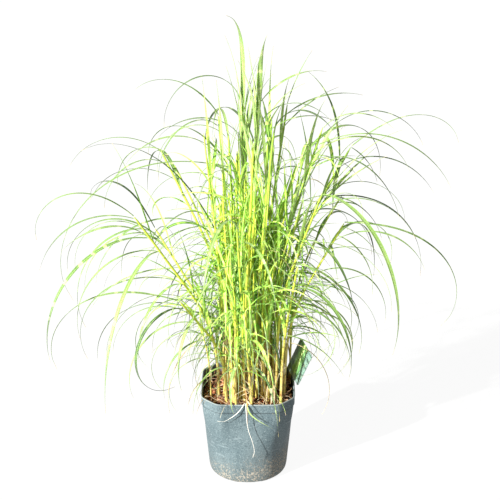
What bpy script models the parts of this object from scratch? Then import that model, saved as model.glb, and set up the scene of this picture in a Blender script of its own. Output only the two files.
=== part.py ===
"""Zebra grass (miscanthus) clump growing in a five litre nursery pot.

Units are metres, +Z is up. The origin is the middle of the pot's flat base, on the ground.
The front of the pot faces -Y.
Sub-parts: the pot, the potting mix, the plant label, the canes and the large leaves.
"""

import math
import random

import bmesh
import bpy
from mathutils import Vector
from mathutils.bvhtree import BVHTree

# ---------------------------------------------------------------- driving dimensions
POT_HEIGHT = 0.196
POT_RIM_ACROSS_FLATS = 0.192
POT_RIM_CORNER_CUT = 0.033
POT_BASE_DIAMETER = 0.163
POT_WALL = 0.0018
POT_FLOOR = 0.0026
POT_BAND_HEIGHT = 0.020
POT_LIP = 0.0030
POT_SIDES = 44

DRAIN_WIDTH = 0.046
DRAIN_HEIGHT = 0.004
DRAIN_DEPTH = 0.013
DRAIN_COUNT = 4

MIX_TOP = 0.180
MIX_LUMP = 0.0035
MIX_GAP = 0.0006

CANE_FOOT_DIAMETER = 0.0072
CANE_TOP_DIAMETER = 0.0044
CANE_SUNK = 0.014
CANE_SIDES = 6
CANE_STEPS = 7

LEAF_THICKNESS = 0.0014
LEAF_FOLD = 0.0010
LEAF_STEPS = 12
SHORT_LEAF_STEPS = 9
SHORT_LEAF = 0.215

LABEL_WIDTH = 0.062
LABEL_SHOULDER = 0.033
LABEL_HEIGHT = 0.113
LABEL_SPIKE_WIDTH = 0.010
LABEL_SUNK = 0.028
LABEL_THICKNESS = 0.0014
LABEL_PLACE = (0.0815, 0.004, 0.180)
LABEL_ACROSS = (0.34, -0.90, -0.26)
LABEL_UP = (0.36, -0.15, 0.94)

JOIN_GAP = 0.0005
CLEARANCE = 0.0006

# Canes: foot x and y (mm), heading of the lean (degrees, 0 is +X and 90 is +Y), lean from upright
# at the foot and at the top (degrees), the share of the length where it bends over, and the
# length above the mix (mm).
CANES = {
    "cane_01": (-10, 6, 180, 0, 0, 0.50, 626),
    "cane_02": (10, -14, 0, 0, 2, 0.50, 634),
    "cane_03": (-32, -22, 215, 0, 5, 0.45, 608),
    "cane_04": (-24, 32, 114, 0, 7, 0.45, 540),
    "cane_05": (-42, 12, 153, 1, 30, 0.46, 533),
    "cane_06": (-61, -22, 214, 1, 33, 0.31, 482),
    "cane_07": (-50, 40, 149, 2, 38, 0.27, 364),
    "cane_08": (60, -6, 345, 0, 17, 0.50, 592),
    "cane_09": (68, 24, 29, 1, 34, 0.49, 540),
    "cane_10": (28, 26, 48, 0, 12, 0.40, 602),
    "cane_11": (18, -42, 300, 0, 10, 0.40, 602),
    "cane_12": (56, -42, 320, 2, 22, 0.45, 490),
    "cane_13": (75, -22, 348, 2, 27, 0.42, 414),
    "cane_14": (68, -54, 304, 2, 14, 0.40, 328),
    "cane_15": (-44, -54, 222, 3, 37, 0.38, 294),
    "cane_16": (4, 54, 87, 3, 28, 0.36, 508),
    "cane_17": (-8, -58, 264, 2, 22, 0.35, 446),
    "cane_18": (42, 54, 58, 3, 25, 0.36, 480),
}

# Leaves: how far up the cane, heading (degrees), inclination where the leaf starts and
# where it ends (degrees, 90 is upright), how late the leaf bends, length and width (mm).
LEAVES = {
    "leaf_01_1": ("cane_01", 1.00, 228, 90, 12, 4.0, 186, 13),
    "leaf_01_2": ("cane_01", 0.99, 205, 84, -93, 0.9, 244, 7),
    "leaf_02_1": ("cane_02", 1.00, 302, 88, 56, 2.0, 132, 11),
    "leaf_02_2": ("cane_02", 0.92, 325, 62, -38, 1.0, 188, 7),
    "leaf_02_3": ("cane_02", 0.99, 30, 46, -16, 1.0, 162, 5),
    "leaf_03_1": ("cane_03", 1.00, 148, 52, -42, 1.0, 225, 6),
    "leaf_03_2": ("cane_03", 0.97, 218, 48, -92, 0.8, 202, 7),
    "leaf_03_3": ("cane_03", 0.52, 168, 65, -32, 2.0, 405, 8),
    "leaf_04_1": ("cane_04", 0.88, 150, 52, -92, 1.5, 262, 8),
    "leaf_04_2": ("cane_04", 0.88, 196, 18, -122, 1.6, 540, 8),
    "leaf_05_1": ("cane_05", 1.00, 150, 10, -96, 1.0, 172, 7),
    "leaf_05_2": ("cane_05", 0.82, 112, 50, -98, 1.1, 330, 8),
    "leaf_06_1": ("cane_06", 1.00, 182, 42, -102, 1.5, 258, 8),
    "leaf_06_2": ("cane_06", 0.88, 210, 18, -102, 0.9, 360, 9),
    "leaf_06_3": ("cane_06", 0.42, 244, 30, -115, 0.7, 200, 7),
    "leaf_06_4": ("cane_06", 0.80, 243, 34, -92, 0.5, 372, 8),
    "leaf_06_5": ("cane_06", 0.60, 230, 30, -96, 0.7, 210, 8),
    "leaf_07_1": ("cane_07", 1.00, 165, 62, -104, 2.4, 215, 7),
    "leaf_07_2": ("cane_07", 0.93, 170, 50, -98, 1.0, 300, 8),
    "leaf_07_3": ("cane_07", 0.97, 198, 44, -114, 0.7, 330, 8),
    "leaf_08_1": ("cane_08", 0.97, 335, 50, -66, 1.4, 245, 7),
    "leaf_08_2": ("cane_08", 0.94, 338, 30, -62, 1.2, 300, 8),
    "leaf_08_3": ("cane_08", 0.86, 318, 44, -74, 1.0, 265, 8),
    "leaf_09_1": ("cane_09", 1.00, 4, 38, -78, 2.0, 266, 8),
    "leaf_09_2": ("cane_09", 0.78, 6, 14, -96, 1.0, 322, 8),
    "leaf_10_1": ("cane_10", 1.00, 15, 74, 55, 1.0, 116, 5),
    "leaf_10_2": ("cane_10", 0.97, 32, 30, -18, 0.8, 190, 6),
    "leaf_11_1": ("cane_11", 1.00, 312, 60, -42, 1.0, 185, 7),
    "leaf_12_1": ("cane_12", 1.00, 308, 14, -110, 0.9, 402, 9),
    "leaf_12_2": ("cane_12", 0.78, 306, 26, -80, 0.8, 204, 8),
    "leaf_13_1": ("cane_13", 1.00, 350, 2, -134, 1.7, 374, 9),
    "leaf_13_2": ("cane_13", 0.80, 58, 48, -98, 0.9, 330, 8),
    "leaf_14_1": ("cane_14", 1.00, 322, 6, -108, 1.2, 250, 8),
    "leaf_14_2": ("cane_14", 0.84, 308, 24, -112, 1.1, 272, 8),
    "leaf_15_1": ("cane_15", 1.00, 188, 20, -116, 1.7, 358, 9),
    "leaf_15_2": ("cane_15", 0.93, 222, 24, -186, 1.0, 310, 8),
    "leaf_16_1": ("cane_16", 1.00, 120, 52, -96, 1.0, 320, 8),
    "leaf_17_1": ("cane_17", 1.00, 252, 54, -98, 0.9, 280, 8),
    "leaf_18_1": ("cane_18", 1.00, 40, 46, -98, 1.1, 330, 9),
}


# ---------------------------------------------------------------- helpers
def clear_scene():
    """Start from an empty scene."""
    for old in list(bpy.data.objects):
        bpy.data.objects.remove(old, do_unlink=True)


def finish_material(name, colour, roughness, metallic=0.0):
    """One plain finish for one sub-part."""
    material = bpy.data.materials.new(name)
    material.use_nodes = True
    shader = material.node_tree.nodes["Principled BSDF"]
    shader.inputs["Base Color"].default_value = (*colour, 1.0)
    shader.inputs["Roughness"].default_value = roughness
    shader.inputs["Metallic"].default_value = metallic
    material.diffuse_color = (*colour, 1.0)
    return material


def object_from(name, shape, material, smooth_angle=35.0):
    """Close a bmesh into a named object with its faces pointing out."""
    bmesh.ops.recalc_face_normals(shape, faces=shape.faces[:])
    mesh = bpy.data.meshes.new(name)
    shape.to_mesh(mesh)
    shape.free()
    mesh.shade_smooth()
    mesh.set_sharp_from_angle(angle=math.radians(smooth_angle))
    mesh.materials.append(material)
    item = bpy.data.objects.new(name, mesh)
    bpy.context.collection.objects.link(item)
    return item


def join_rings(shape, rings, close_ends=True):
    """Skin a list of closed rings of equal length, with flat ends.

    Each four sided patch is split along the diagonal that climbs the same way round, so that
    a wall and the body that fills it bend alike and keep their gap.
    """
    loops = [[shape.verts.new(point) for point in ring] for ring in rings]
    count = len(loops[0])
    for first, second in zip(loops, loops[1:]):
        climbs = second[0].co.z >= first[0].co.z
        for i in range(count):
            j = (i + 1) % count
            if climbs:
                shape.faces.new((first[i], first[j], second[j]))
                shape.faces.new((first[i], second[j], second[i]))
            else:
                shape.faces.new((first[i], first[j], second[i]))
                shape.faces.new((first[j], second[j], second[i]))
    if close_ends:
        shape.faces.new(list(reversed(loops[0])))
        shape.faces.new(loops[-1])
    return loops


def turned_bvh(shape):
    """A search tree over a bmesh, used to keep neighbours apart."""
    return BVHTree.FromBMesh(shape)


def tree_of(item):
    """The same for a finished object, with its place and rotation."""
    shape = bmesh.new()
    shape.from_mesh(item.data)
    shape.transform(item.matrix_world)
    tree = BVHTree.FromBMesh(shape)
    shape.free()
    return tree


def smooth_step(low, high, value):
    """0 below low, 1 above high and an even S between."""
    t = min(1.0, max(0.0, (value - low) / (high - low)))
    return t * t * (3.0 - 2.0 * t)


# ---------------------------------------------------------------- pot
def octagon_radius(angle):
    """Half of the rim's width at an angle: a square with cut, slightly rounded corners."""
    half = POT_RIM_ACROSS_FLATS / 2.0
    corner = (2.0 * half - POT_RIM_CORNER_CUT) / math.sqrt(2.0)
    total = 0.0
    for k in range(8):
        facing = math.cos(angle - k * math.pi / 4.0)
        if facing > 0.0:
            reach = half if k % 2 == 0 else corner
            total += (facing / reach) ** 34
    return total ** (-1.0 / 34)


def pot_radius(angle, height):
    """Outside of the wall: a round foot that turns into the octagonal rim."""
    foot = POT_BASE_DIAMETER / 2.0
    spread = (POT_RIM_ACROSS_FLATS / 2.0 + 0.004) - foot
    level = height / POT_HEIGHT
    round_wall = foot + spread * level
    eight_sided = octagon_radius(angle) * (1.0 - 0.13 * (1.0 - level))
    blend = smooth_step(0.28, 0.86, level)
    return round_wall + (eight_sided - round_wall) * blend


def pot_ring(height, offset, level_for_shape=None):
    """One closed ring of the pot's section."""
    shape_height = height if level_for_shape is None else level_for_shape
    ring = []
    for i in range(POT_SIDES):
        angle = 2.0 * math.pi * i / POT_SIDES
        radius = pot_radius(angle, shape_height) + offset
        ring.append(Vector((radius * math.cos(angle), radius * math.sin(angle), height)))
    return ring


def build_pot(material):
    """Thin moulded pot: foot, wall, rim band, rolled lip and four drainage slots."""
    band = POT_HEIGHT - POT_BAND_HEIGHT
    top = POT_HEIGHT
    section = [
        (0.0000, -0.0085, 0.0),
        (0.0018, -0.0036, 0.0),
        (0.0060, -0.0006, None),
        (0.0480, 0.0000, None),
        (0.0860, 0.0000, None),
        (0.1200, 0.0000, None),
        (0.1500, 0.0000, None),
        (band - 0.0005, -0.0002, None),
        (band + 0.0010, 0.0012, None),
        (top - POT_LIP, 0.0004, None),
        (top - POT_LIP + 0.0006, 0.0016, top),
        (top - 0.0008, 0.0018, top),
        (top, 0.0008, top),
        (top, -0.0008, top),
        (top - 0.0010, -POT_WALL + 0.0002, top),
        (band + 0.0010, 0.0012 - POT_WALL, None),
        (band - 0.0020, -POT_WALL, None),
        (0.1500, -POT_WALL, None),
        (0.1200, -POT_WALL, None),
        (0.0860, -POT_WALL, None),
        (0.0480, -POT_WALL, None),
        (POT_FLOOR + 0.0040, -POT_WALL - 0.0006, None),
        (POT_FLOOR, -POT_WALL - 0.0060, 0.0),
    ]
    shape = bmesh.new()
    rings = [pot_ring(height, offset, level) for height, offset, level in section]
    join_rings(shape, rings)
    pot = object_from("pot", shape, material)
    pot_foot = POT_BASE_DIAMETER / 2.0
    for i in range(DRAIN_COUNT):
        angle = math.radians(274.0 + 360.0 * i / DRAIN_COUNT)
        cutter = drain_cutter("drain_slot_cutter_%d" % i, angle, pot_foot)
        cut = pot.modifiers.new("drain_%d" % i, "BOOLEAN")
        cut.operation = "DIFFERENCE"
        cut.solver = "EXACT"
        cut.object = cutter
    return pot


def drain_cutter(name, angle, foot):
    """A block that takes one drainage slot out of the pot's bottom edge."""
    shape = bmesh.new()
    inner = foot - DRAIN_DEPTH
    outer = foot + 0.008
    half = DRAIN_WIDTH / 2.0
    profile = [
        (-half, -0.006),
        (half, -0.006),
        (half, DRAIN_HEIGHT - 0.0012),
        (half - 0.002, DRAIN_HEIGHT),
        (-half + 0.002, DRAIN_HEIGHT),
        (-half, DRAIN_HEIGHT - 0.0012),
    ]
    along = Vector((math.cos(angle), math.sin(angle), 0.0))
    across = Vector((-math.sin(angle), math.cos(angle), 0.0))
    rings = []
    for reach in (inner, outer):
        rings.append([along * reach + across * u + Vector((0, 0, v)) for u, v in profile])
    join_rings(shape, rings)
    bmesh.ops.recalc_face_normals(shape, faces=shape.faces[:])
    mesh = bpy.data.meshes.new(name)
    shape.to_mesh(mesh)
    shape.free()
    cutter = bpy.data.objects.new(name, mesh)
    bpy.context.collection.objects.link(cutter)
    cutter.hide_render = True
    cutter.display_type = "WIRE"
    return cutter


# ---------------------------------------------------------------- potting mix
def mix_height(x, y, phases):
    """Lumpy top of the bark mix, a little higher in the middle of the clump."""
    radius = math.hypot(x, y)
    lumps = 0.0
    for k, (fx, fy, phase) in enumerate(phases):
        lumps += math.sin(fx * x + fy * y + phase) / (1.0 + 0.35 * k)
    mound = 0.004 * (1.0 - min(1.0, radius / 0.085) ** 2)
    return MIX_TOP + mound + MIX_LUMP * lumps / 2.6


def build_mix(material, feet):
    """The body of bark and coir that fills the pot, with a socket for every cane."""
    rng = random.Random(11)
    phases = []
    for _ in range(6):
        turn = rng.uniform(0.0, 2.0 * math.pi)
        wave = rng.uniform(130.0, 330.0)
        phases.append((wave * math.cos(turn), wave * math.sin(turn), rng.uniform(0.0, 6.28)))
    inset = -POT_WALL - MIX_GAP
    ledge = POT_HEIGHT - POT_BAND_HEIGHT - 0.002
    wall_heights = (POT_FLOOR + MIX_GAP, 0.0100, 0.048, 0.086, 0.120, 0.150, ledge)
    shape = bmesh.new()
    rings = []
    for height in wall_heights:
        edge = inset - 0.0070 if height < 0.006 else inset - 0.0006 * (height < 0.02)
        level = 0.0 if height < 0.006 else None
        rings.append(pot_ring(height, edge, level))
    for shrink in (0.995, 0.90, 0.77, 0.62, 0.46, 0.30, 0.15):
        ring = []
        for point in pot_ring(ledge, inset):
            x = point.x * shrink
            y = point.y * shrink
            ring.append(Vector((x, y, mix_height(x, y, phases))))
        rings.append(ring)
    loops = join_rings(shape, rings, close_ends=False)
    shape.faces.new(list(reversed(loops[0])))
    middle = shape.verts.new((0.0, 0.0, mix_height(0.0, 0.0, phases)))
    last = loops[-1]
    for i in range(POT_SIDES):
        shape.faces.new((last[i], last[(i + 1) % POT_SIDES], middle))
    mix = object_from("potting_mix", shape, material, 50.0)
    for i, foot in enumerate(feet):
        cut = mix.modifiers.new("socket_%02d" % i, "BOOLEAN")
        cut.operation = "DIFFERENCE"
        cut.solver = "EXACT"
        cut.object = foot
    return mix


# ---------------------------------------------------------------- canes
def heading_vector(degrees):
    """Level direction for a heading."""
    turn = math.radians(degrees)
    return Vector((math.cos(turn), math.sin(turn), 0.0))


def cane_path(values, steps=CANE_STEPS):
    """Middle line of a cane above the mix: upright at first, then bent over."""
    x, y, heading, lean_foot, lean_top, bend, length = values
    away = heading_vector(heading)
    point = Vector((x / 1000.0, y / 1000.0, MIX_TOP))
    step = length / 1000.0 / steps
    points = [point.copy()]
    for i in range(steps):
        bent = smooth_step(bend - 0.30, bend + 0.30, (i + 0.5) / steps)
        lean = math.radians(lean_foot + (lean_top - lean_foot) * bent)
        point = point + (away * math.sin(lean) + Vector((0, 0, 1)) * math.cos(lean)) * step
        points.append(point.copy())
    return points


def cane_point(values, share):
    """Place, direction and radius at a share of the cane's length."""
    points = cane_path(values, 40)
    at = min(39.999, share * 40.0)
    i = int(at)
    place = points[i].lerp(points[i + 1], at - i)
    direction = (points[i + 1] - points[i]).normalized()
    foot = CANE_FOOT_DIAMETER / 2.0
    top = CANE_TOP_DIAMETER / 2.0
    return place, direction, foot + (top - foot) * share


def ring_around(place, direction, radius, sides, turn=0.0):
    """A regular ring square to a direction."""
    side = direction.cross(Vector((0.0, 1.0, 0.0))).normalized()
    other = direction.cross(side).normalized()
    ring = []
    for i in range(sides):
        angle = turn + 2.0 * math.pi * i / sides
        ring.append(place + side * (radius * math.cos(angle)) + other * (radius * math.sin(angle)))
    return ring


def cane_rings(values, extra=0.0, only_foot=False):
    """Sections of a cane from its sunk foot to its top."""
    points = cane_path(values)
    first = (points[1] - points[0]).normalized()
    foot = CANE_FOOT_DIAMETER / 2.0
    top = CANE_TOP_DIAMETER / 2.0
    rings = [ring_around(points[0] - first * CANE_SUNK, first, foot * 0.72 + extra, CANE_SIDES)]
    if only_foot:
        sunk = CANE_SUNK + extra
        rings[0] = ring_around(points[0] - first * sunk, first, foot * 0.72 + extra, CANE_SIDES)
        rings.append(ring_around(points[0], first, foot + extra, CANE_SIDES))
        rings.append(ring_around(points[0] + first * 0.022, first, foot + extra, CANE_SIDES))
        return rings
    for i, place in enumerate(points):
        before = points[max(0, i - 1)]
        after = points[min(len(points) - 1, i + 1)]
        direction = (after - before).normalized()
        radius = foot + (top - foot) * i / (len(points) - 1)
        rings.append(ring_around(place, direction, radius + extra, CANE_SIDES))
    return rings


def build_cane(name, values, material):
    """One cane: a tapering six sided stem."""
    shape = bmesh.new()
    join_rings(shape, cane_rings(values))
    return object_from(name, shape, material, 70.0)


def build_socket(name, shape):
    """The room that a sunk foot takes in the potting mix."""
    bmesh.ops.recalc_face_normals(shape, faces=shape.faces[:])
    mesh = bpy.data.meshes.new(name)
    shape.to_mesh(mesh)
    shape.free()
    socket = bpy.data.objects.new(name, mesh)
    bpy.context.collection.objects.link(socket)
    socket.hide_render = True
    socket.display_type = "WIRE"
    return socket


def turned(values, extra):
    """The same cane with its lean turned about the upright."""
    x, y, heading, *rest = values
    return (x, y, heading + extra, *rest)


# ---------------------------------------------------------------- leaves
def leaf_path(root, heading, rise, fall, late, length, steps):
    """Middle line of a leaf: its inclination runs from rise to fall along its length."""
    away = heading_vector(heading)
    point = root.copy()
    points = [point.copy()]
    slopes = [math.radians(rise)]
    for i in range(steps):
        share = (i + 0.5) / steps
        slope = math.radians(rise + (fall - rise) * share ** late)
        point = point + (away * math.cos(slope) + Vector((0, 0, 1)) * math.sin(slope)) * (length / steps)
        points.append(point.copy())
        slopes.append(math.radians(rise + (fall - rise) * ((i + 1) / steps) ** late))
    return points, slopes


def leaf_width(share, width):
    """Narrow at the cane, widest a third of the way along, pointed at the tip."""
    opening = 0.52 + 0.48 * smooth_step(0.0, 0.22, share)
    taper = 1.0 - smooth_step(0.42, 1.0, share) * 0.93
    return width * opening * taper


def leaf_shape(root, heading, values, extra=0.0):
    """Closed blade: two edges, a grooved upper face and a ribbed underside."""
    rise, fall, late, length, width = values
    steps = LEAF_STEPS if length > SHORT_LEAF else SHORT_LEAF_STEPS
    points, slopes = leaf_path(root, heading, rise, fall, late, length, steps)
    away = heading_vector(heading)
    side = Vector((-away.y, away.x, 0.0))
    rings = []
    for i, (place, slope) in enumerate(zip(points, slopes)):
        share = i / steps
        half = leaf_width(share, width) / 2.0 + extra
        thick = LEAF_THICKNESS * (1.0 - 0.45 * share) / 2.0 + extra
        fold = LEAF_FOLD * min(1.0, half / (width / 2.0))
        up = Vector((0, 0, 1)) * math.cos(slope) - away * math.sin(slope)
        rings.append([
            place + side * half,
            place + up * (thick - fold),
            place - side * half,
            place - up * (thick + fold),
        ])
    shape = bmesh.new()
    join_rings(shape, rings)
    bmesh.ops.recalc_face_normals(shape, faces=shape.faces[:])
    return shape


def leaf_root(cane_values, share, heading, rise):
    """Where a leaf leaves its cane, and how steeply it may start there."""
    place, direction, radius = cane_point(cane_values, share)
    away = heading_vector(heading)
    if share >= 0.999:
        return place + direction * (JOIN_GAP + LEAF_THICKNESS + 0.0008), rise
    along = math.degrees(math.atan2(direction.z, direction.dot(away)))
    steepest = along - 6.0
    offset = radius + JOIN_GAP + LEAF_THICKNESS + 0.0006
    return place + away * offset, min(rise, steepest)


def build_leaf(name, values, canes, material, neighbours):
    """One large leaf, turned a little where it would meet an earlier neighbour."""
    cane, share, heading, rise, fall, late, length, width = values
    for step in range(0, 31):
        for sign in (1, -1):
            turn = heading + sign * step * 2.0
            root, start = leaf_root(canes[cane], share, turn, rise)
            size = (start, fall, late, length / 1000.0, width / 1000.0)
            wide = leaf_shape(root, turn, size, CLEARANCE)
            tree = turned_bvh(wide)
            wide.free()
            if not any(tree.overlap(other) for other in neighbours):
                shape = leaf_shape(root, turn, size)
                neighbours.append(turned_bvh(shape))
                return object_from(name, shape, material, 80.0)
    raise RuntimeError("no clear place for " + name)


# ---------------------------------------------------------------- label
def label_outline(grow=0.0):
    """Half outlines mirrored: a wide card on a narrow spike with a pointed end."""
    half = LABEL_WIDTH / 2.0 + grow
    spike = LABEL_SPIKE_WIDTH / 2.0 + grow
    right = [
        (0.0015 + grow, -LABEL_SUNK - grow),
        (spike, -LABEL_SUNK + 0.012),
        (spike, 0.018),
        (half, LABEL_SHOULDER),
        (half, LABEL_HEIGHT - 0.006),
        (half - 0.006, LABEL_HEIGHT + grow),
    ]
    left = [(-u, v) for u, v in reversed(right)]
    return right + left


def label_shape(grow=0.0):
    """The card in place: it leans out over the rim on the right of the pot."""
    across = Vector(LABEL_ACROSS).normalized()
    facing = across.cross(Vector(LABEL_UP)).normalized()
    up = facing.cross(across).normalized()
    place = Vector(LABEL_PLACE)
    thick = LABEL_THICKNESS / 2.0 + grow
    rings = []
    for depth in (-thick, thick):
        rings.append([place + across * u + up * v + facing * depth for u, v in label_outline(grow)])
    shape = bmesh.new()
    join_rings(shape, rings)
    bmesh.ops.recalc_face_normals(shape, faces=shape.faces[:])
    return shape


def build_label(material):
    """Plastic plant label: a card on a spike, pushed into the mix beside the wall."""
    return object_from("plant_label", label_shape(), material, 30.0)


# ---------------------------------------------------------------- whole plant
def main():
    """Build the pot, the mix, the label, the canes and the leaves."""
    clear_scene()
    pot_plastic = finish_material("pot_plastic", (0.16, 0.24, 0.28), 0.55)
    bark = finish_material("bark_mix", (0.28, 0.12, 0.06), 0.95)
    card = finish_material("label_card", (0.03, 0.10, 0.03), 0.40)
    cane_green = finish_material("cane_green", (0.52, 0.56, 0.16), 0.50)
    leaf_green = finish_material("leaf_green", (0.13, 0.28, 0.05), 0.45)

    pot = build_pot(pot_plastic)
    bpy.context.view_layer.update()
    label = build_label(card)
    bpy.context.view_layer.update()
    neighbours = [tree_of(pot), tree_of(label)]

    canes = {}
    for name, values in CANES.items():
        for step in range(0, 20):
            for sign in (1, -1):
                if name in canes:
                    continue
                trial = turned(values, sign * step * 3.0)
                shape = bmesh.new()
                join_rings(shape, cane_rings(trial, extra=CLEARANCE))
                tree = turned_bvh(shape)
                shape.free()
                if not any(tree.overlap(other) for other in neighbours):
                    canes[name] = trial
                    neighbours.append(tree)
        if name not in canes:
            raise RuntimeError("no clear place for " + name)

    feet = [build_socket("socket_cutter_label", label_shape(JOIN_GAP))]
    for name, values in canes.items():
        shape = bmesh.new()
        join_rings(shape, cane_rings(values, extra=JOIN_GAP, only_foot=True))
        feet.append(build_socket("socket_cutter_" + name[-2:], shape))
    build_mix(bark, feet)
    for name, values in canes.items():
        build_cane(name, values, cane_green)
    for name, values in LEAVES.items():
        build_leaf(name, values, canes, leaf_green, neighbours)


main()
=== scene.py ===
"""Looks for the potted zebra grass clump: nursery pot, bark mix, culms, blades, label and stage.

Metres, +Z up, front of the pot towards -Y. Every slender piece follows the middle line of the solid
that it stands for, read from the frame.
"""

import math
import random

import bmesh
import bpy
import numpy as np
from bpy.props import FloatProperty, FloatVectorProperty, IntProperty, PointerProperty
from mathutils import Matrix, Vector, noise


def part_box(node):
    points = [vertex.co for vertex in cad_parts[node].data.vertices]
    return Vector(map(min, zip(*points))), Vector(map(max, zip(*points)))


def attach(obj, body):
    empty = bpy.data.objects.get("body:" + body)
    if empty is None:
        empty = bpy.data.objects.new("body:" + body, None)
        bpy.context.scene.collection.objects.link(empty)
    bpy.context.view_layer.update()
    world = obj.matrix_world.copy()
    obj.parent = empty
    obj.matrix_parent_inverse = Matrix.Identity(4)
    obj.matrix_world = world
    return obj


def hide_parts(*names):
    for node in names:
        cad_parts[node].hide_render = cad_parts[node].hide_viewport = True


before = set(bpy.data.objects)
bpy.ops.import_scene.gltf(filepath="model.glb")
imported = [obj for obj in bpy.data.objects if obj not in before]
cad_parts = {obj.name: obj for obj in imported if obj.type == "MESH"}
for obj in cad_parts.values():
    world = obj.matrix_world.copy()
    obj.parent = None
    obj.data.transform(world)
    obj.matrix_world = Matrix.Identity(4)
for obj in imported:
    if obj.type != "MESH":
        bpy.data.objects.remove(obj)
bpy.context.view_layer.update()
POT_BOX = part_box("pot")

bl_info = {
    "name": "Potted grass clump",
    "version": (1, 0, 0),
    "blender": (4, 5, 0),
    "location": "3D View > Sidebar > Grass clump",
    "description": "Builds the finished surfaces of a potted zebra grass clump",
    "category": "Object",
}

BODY = "root"
UPRIGHT = np.array((0.0, 0.0, 1.0))
CIRCLE = 2.0 * math.pi
LIP_OVERHANG = 0.0018
BAKE_MAP = "OFBake"
WHITE = (1.0, 1.0, 1.0)

# Seeds of the random draws, one for each group of pieces.
SEEDS = {
    "mix": 11, "chips": 21, "roots": 31, "culms": 41, "blades": 51, "young lines": 61, "young culms": 62,
    "side": 71, "inner": 81, "skirt": 85, "dry": 91, "hanging": 95, "chip shapes": 500,
}
# The first number of each group. A piece's number shifts its pattern, so that no two look alike.
FIRST = {"young": 30, "side": 50, "inner": 100, "skirt": 700, "fine": 900}
PATTERN_SHIFT = 3.7


# ---------------------------------------------------------------- settings
def a_length(name, about, default):
    """A setting in metres."""
    return FloatProperty(name=name, description=about, default=default, unit="LENGTH")


def a_number(name, about, default):
    """A plain number."""
    return FloatProperty(name=name, description=about, default=default)


def a_count(name, about, default):
    """How many."""
    return IntProperty(name=name, description=about, default=default)


def a_colour(name, about, *default):
    """A colour, as red, green and blue."""
    return FloatVectorProperty(name=name, description=about, subtype="COLOR", default=default)


def a_vector(name, about, kind, *default):
    """A place or a direction."""
    return FloatVectorProperty(name=name, description=about, subtype=kind, default=default)


class PotSettings(bpy.types.PropertyGroup):
    """Sizes and colours of the moulded nursery pot."""

    height: a_length("Height", "Ground to the top of the lip", POT_BOX[1].z)
    across_flats: a_length(
        "Across flats", "Rim width between two flat sides", POT_BOX[1].x - POT_BOX[0].x - 2.0 * LIP_OVERHANG
    )
    corner_cut: a_length("Corner cut", "How much of each rim corner is cut away", 0.033)
    base_diameter: a_length("Base diameter", "Across the round foot", 0.163)
    wall: a_length("Wall", "Wall thickness", 0.0018)
    floor: a_length("Floor", "Floor thickness", 0.0026)
    band: a_length("Rim band", "Height of the rim band", 0.020)
    lip: a_length("Lip", "Height of the rolled lip", 0.0030)
    sides: a_count("Sides", "Facets round the pot", 176)
    plastic: a_colour("Plastic", "Blue grey plastic", 0.100, 0.145, 0.160)
    faded: a_colour("Faded plastic", "Chalky, sun bleached plastic", 0.150, 0.203, 0.218)
    mud: a_colour("Mud", "Dried mud on the foot", 0.20, 0.16, 0.11)


class MixSettings(bpy.types.PropertyGroup):
    """The bark and coir mix, its loose chips and its roots."""

    level: a_length("Level", "Mean height of the mix", 0.180)
    lump: a_length("Lumps", "Height of the lumps", 0.0035)
    chips: a_count("Chips", "Bark chips on the surface", 1500)
    fibres: a_count("Fibres", "Coir fibres on the surface", 420)
    roots: a_count("Roots", "Pale roots on the surface", 70)
    dark: a_colour("Dark bark", "Damp bark", 0.030, 0.011, 0.006)
    red: a_colour("Red bark", "Dry reddish bark", 0.36, 0.115, 0.045)
    light: a_colour("Light bark", "Split faces of bark", 0.66, 0.30, 0.15)


class CulmSettings(bpy.types.PropertyGroup):
    """The upright stems."""

    rings: a_count("Rings", "Rings along a large culm", 110)
    node_gap: a_length("Node gap", "Between two nodes", 0.085)
    straw: a_colour("Straw", "Old sheaths at the foot", 0.86, 0.66, 0.20)
    # The yellow is the lower culm's own colour with painted sunlight in it.
    yellow: a_colour("Yellow", "Sunlit lower culm", 0.74, 0.79, 0.08)
    green: a_colour("Green", "Upper culm", 0.44, 0.69, 0.09)


class BladeSettings(bpy.types.PropertyGroup):
    """The grass blades."""

    steps: a_count("Steps", "Sections along a large blade", 46)
    band_gap: a_length("Band gap", "Between two pale bands", 0.038)
    inner_count: a_count("Inner blades", "Blades inside the clump", 520)
    skirt_count: a_count("Skirt blades", "Drooping blades low down", 92)
    fine_count: a_count("Fine blades", "Fine dark blades", 250)
    # Painted shade: the dark green stands for blades in shade.
    dark: a_colour("Dark green", "Shaded blades", 0.038, 0.100, 0.026)
    green: a_colour("Green", "Blades", 0.20, 0.36, 0.075)
    # Lime is the young blades' own colour and also stands for painted sunlight.
    lime: a_colour("Lime", "Young and sunlit blades", 0.40, 0.57, 0.17)
    band: a_colour("Band", "Pale cross bands", 0.66, 0.74, 0.36)
    dry: a_colour("Dry", "Dry tips and dead blades", 0.62, 0.42, 0.20)


class LabelSettings(bpy.types.PropertyGroup):
    """The plant label: a card on a spike."""

    width: a_length("Width", "Card width", 0.062)
    shoulder: a_length("Shoulder", "Where the card starts", 0.033)
    height: a_length("Height", "Top above the mix", 0.113)
    spike: a_length("Spike", "Spike width", 0.010)
    thickness: a_length("Thickness", "Card", 0.0012)
    place: a_vector("Place", "Where the spike enters", "TRANSLATION", 0.0815, 0.004, 0.180)
    across: a_vector("Across", "Direction across the card", "DIRECTION", 0.34, -0.90, -0.26)
    up: a_vector("Up", "Direction up the card", "DIRECTION", 0.36, -0.15, 0.94)
    green: a_colour("Green", "Dark printed green", 0.15, 0.36, 0.13)


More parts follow.
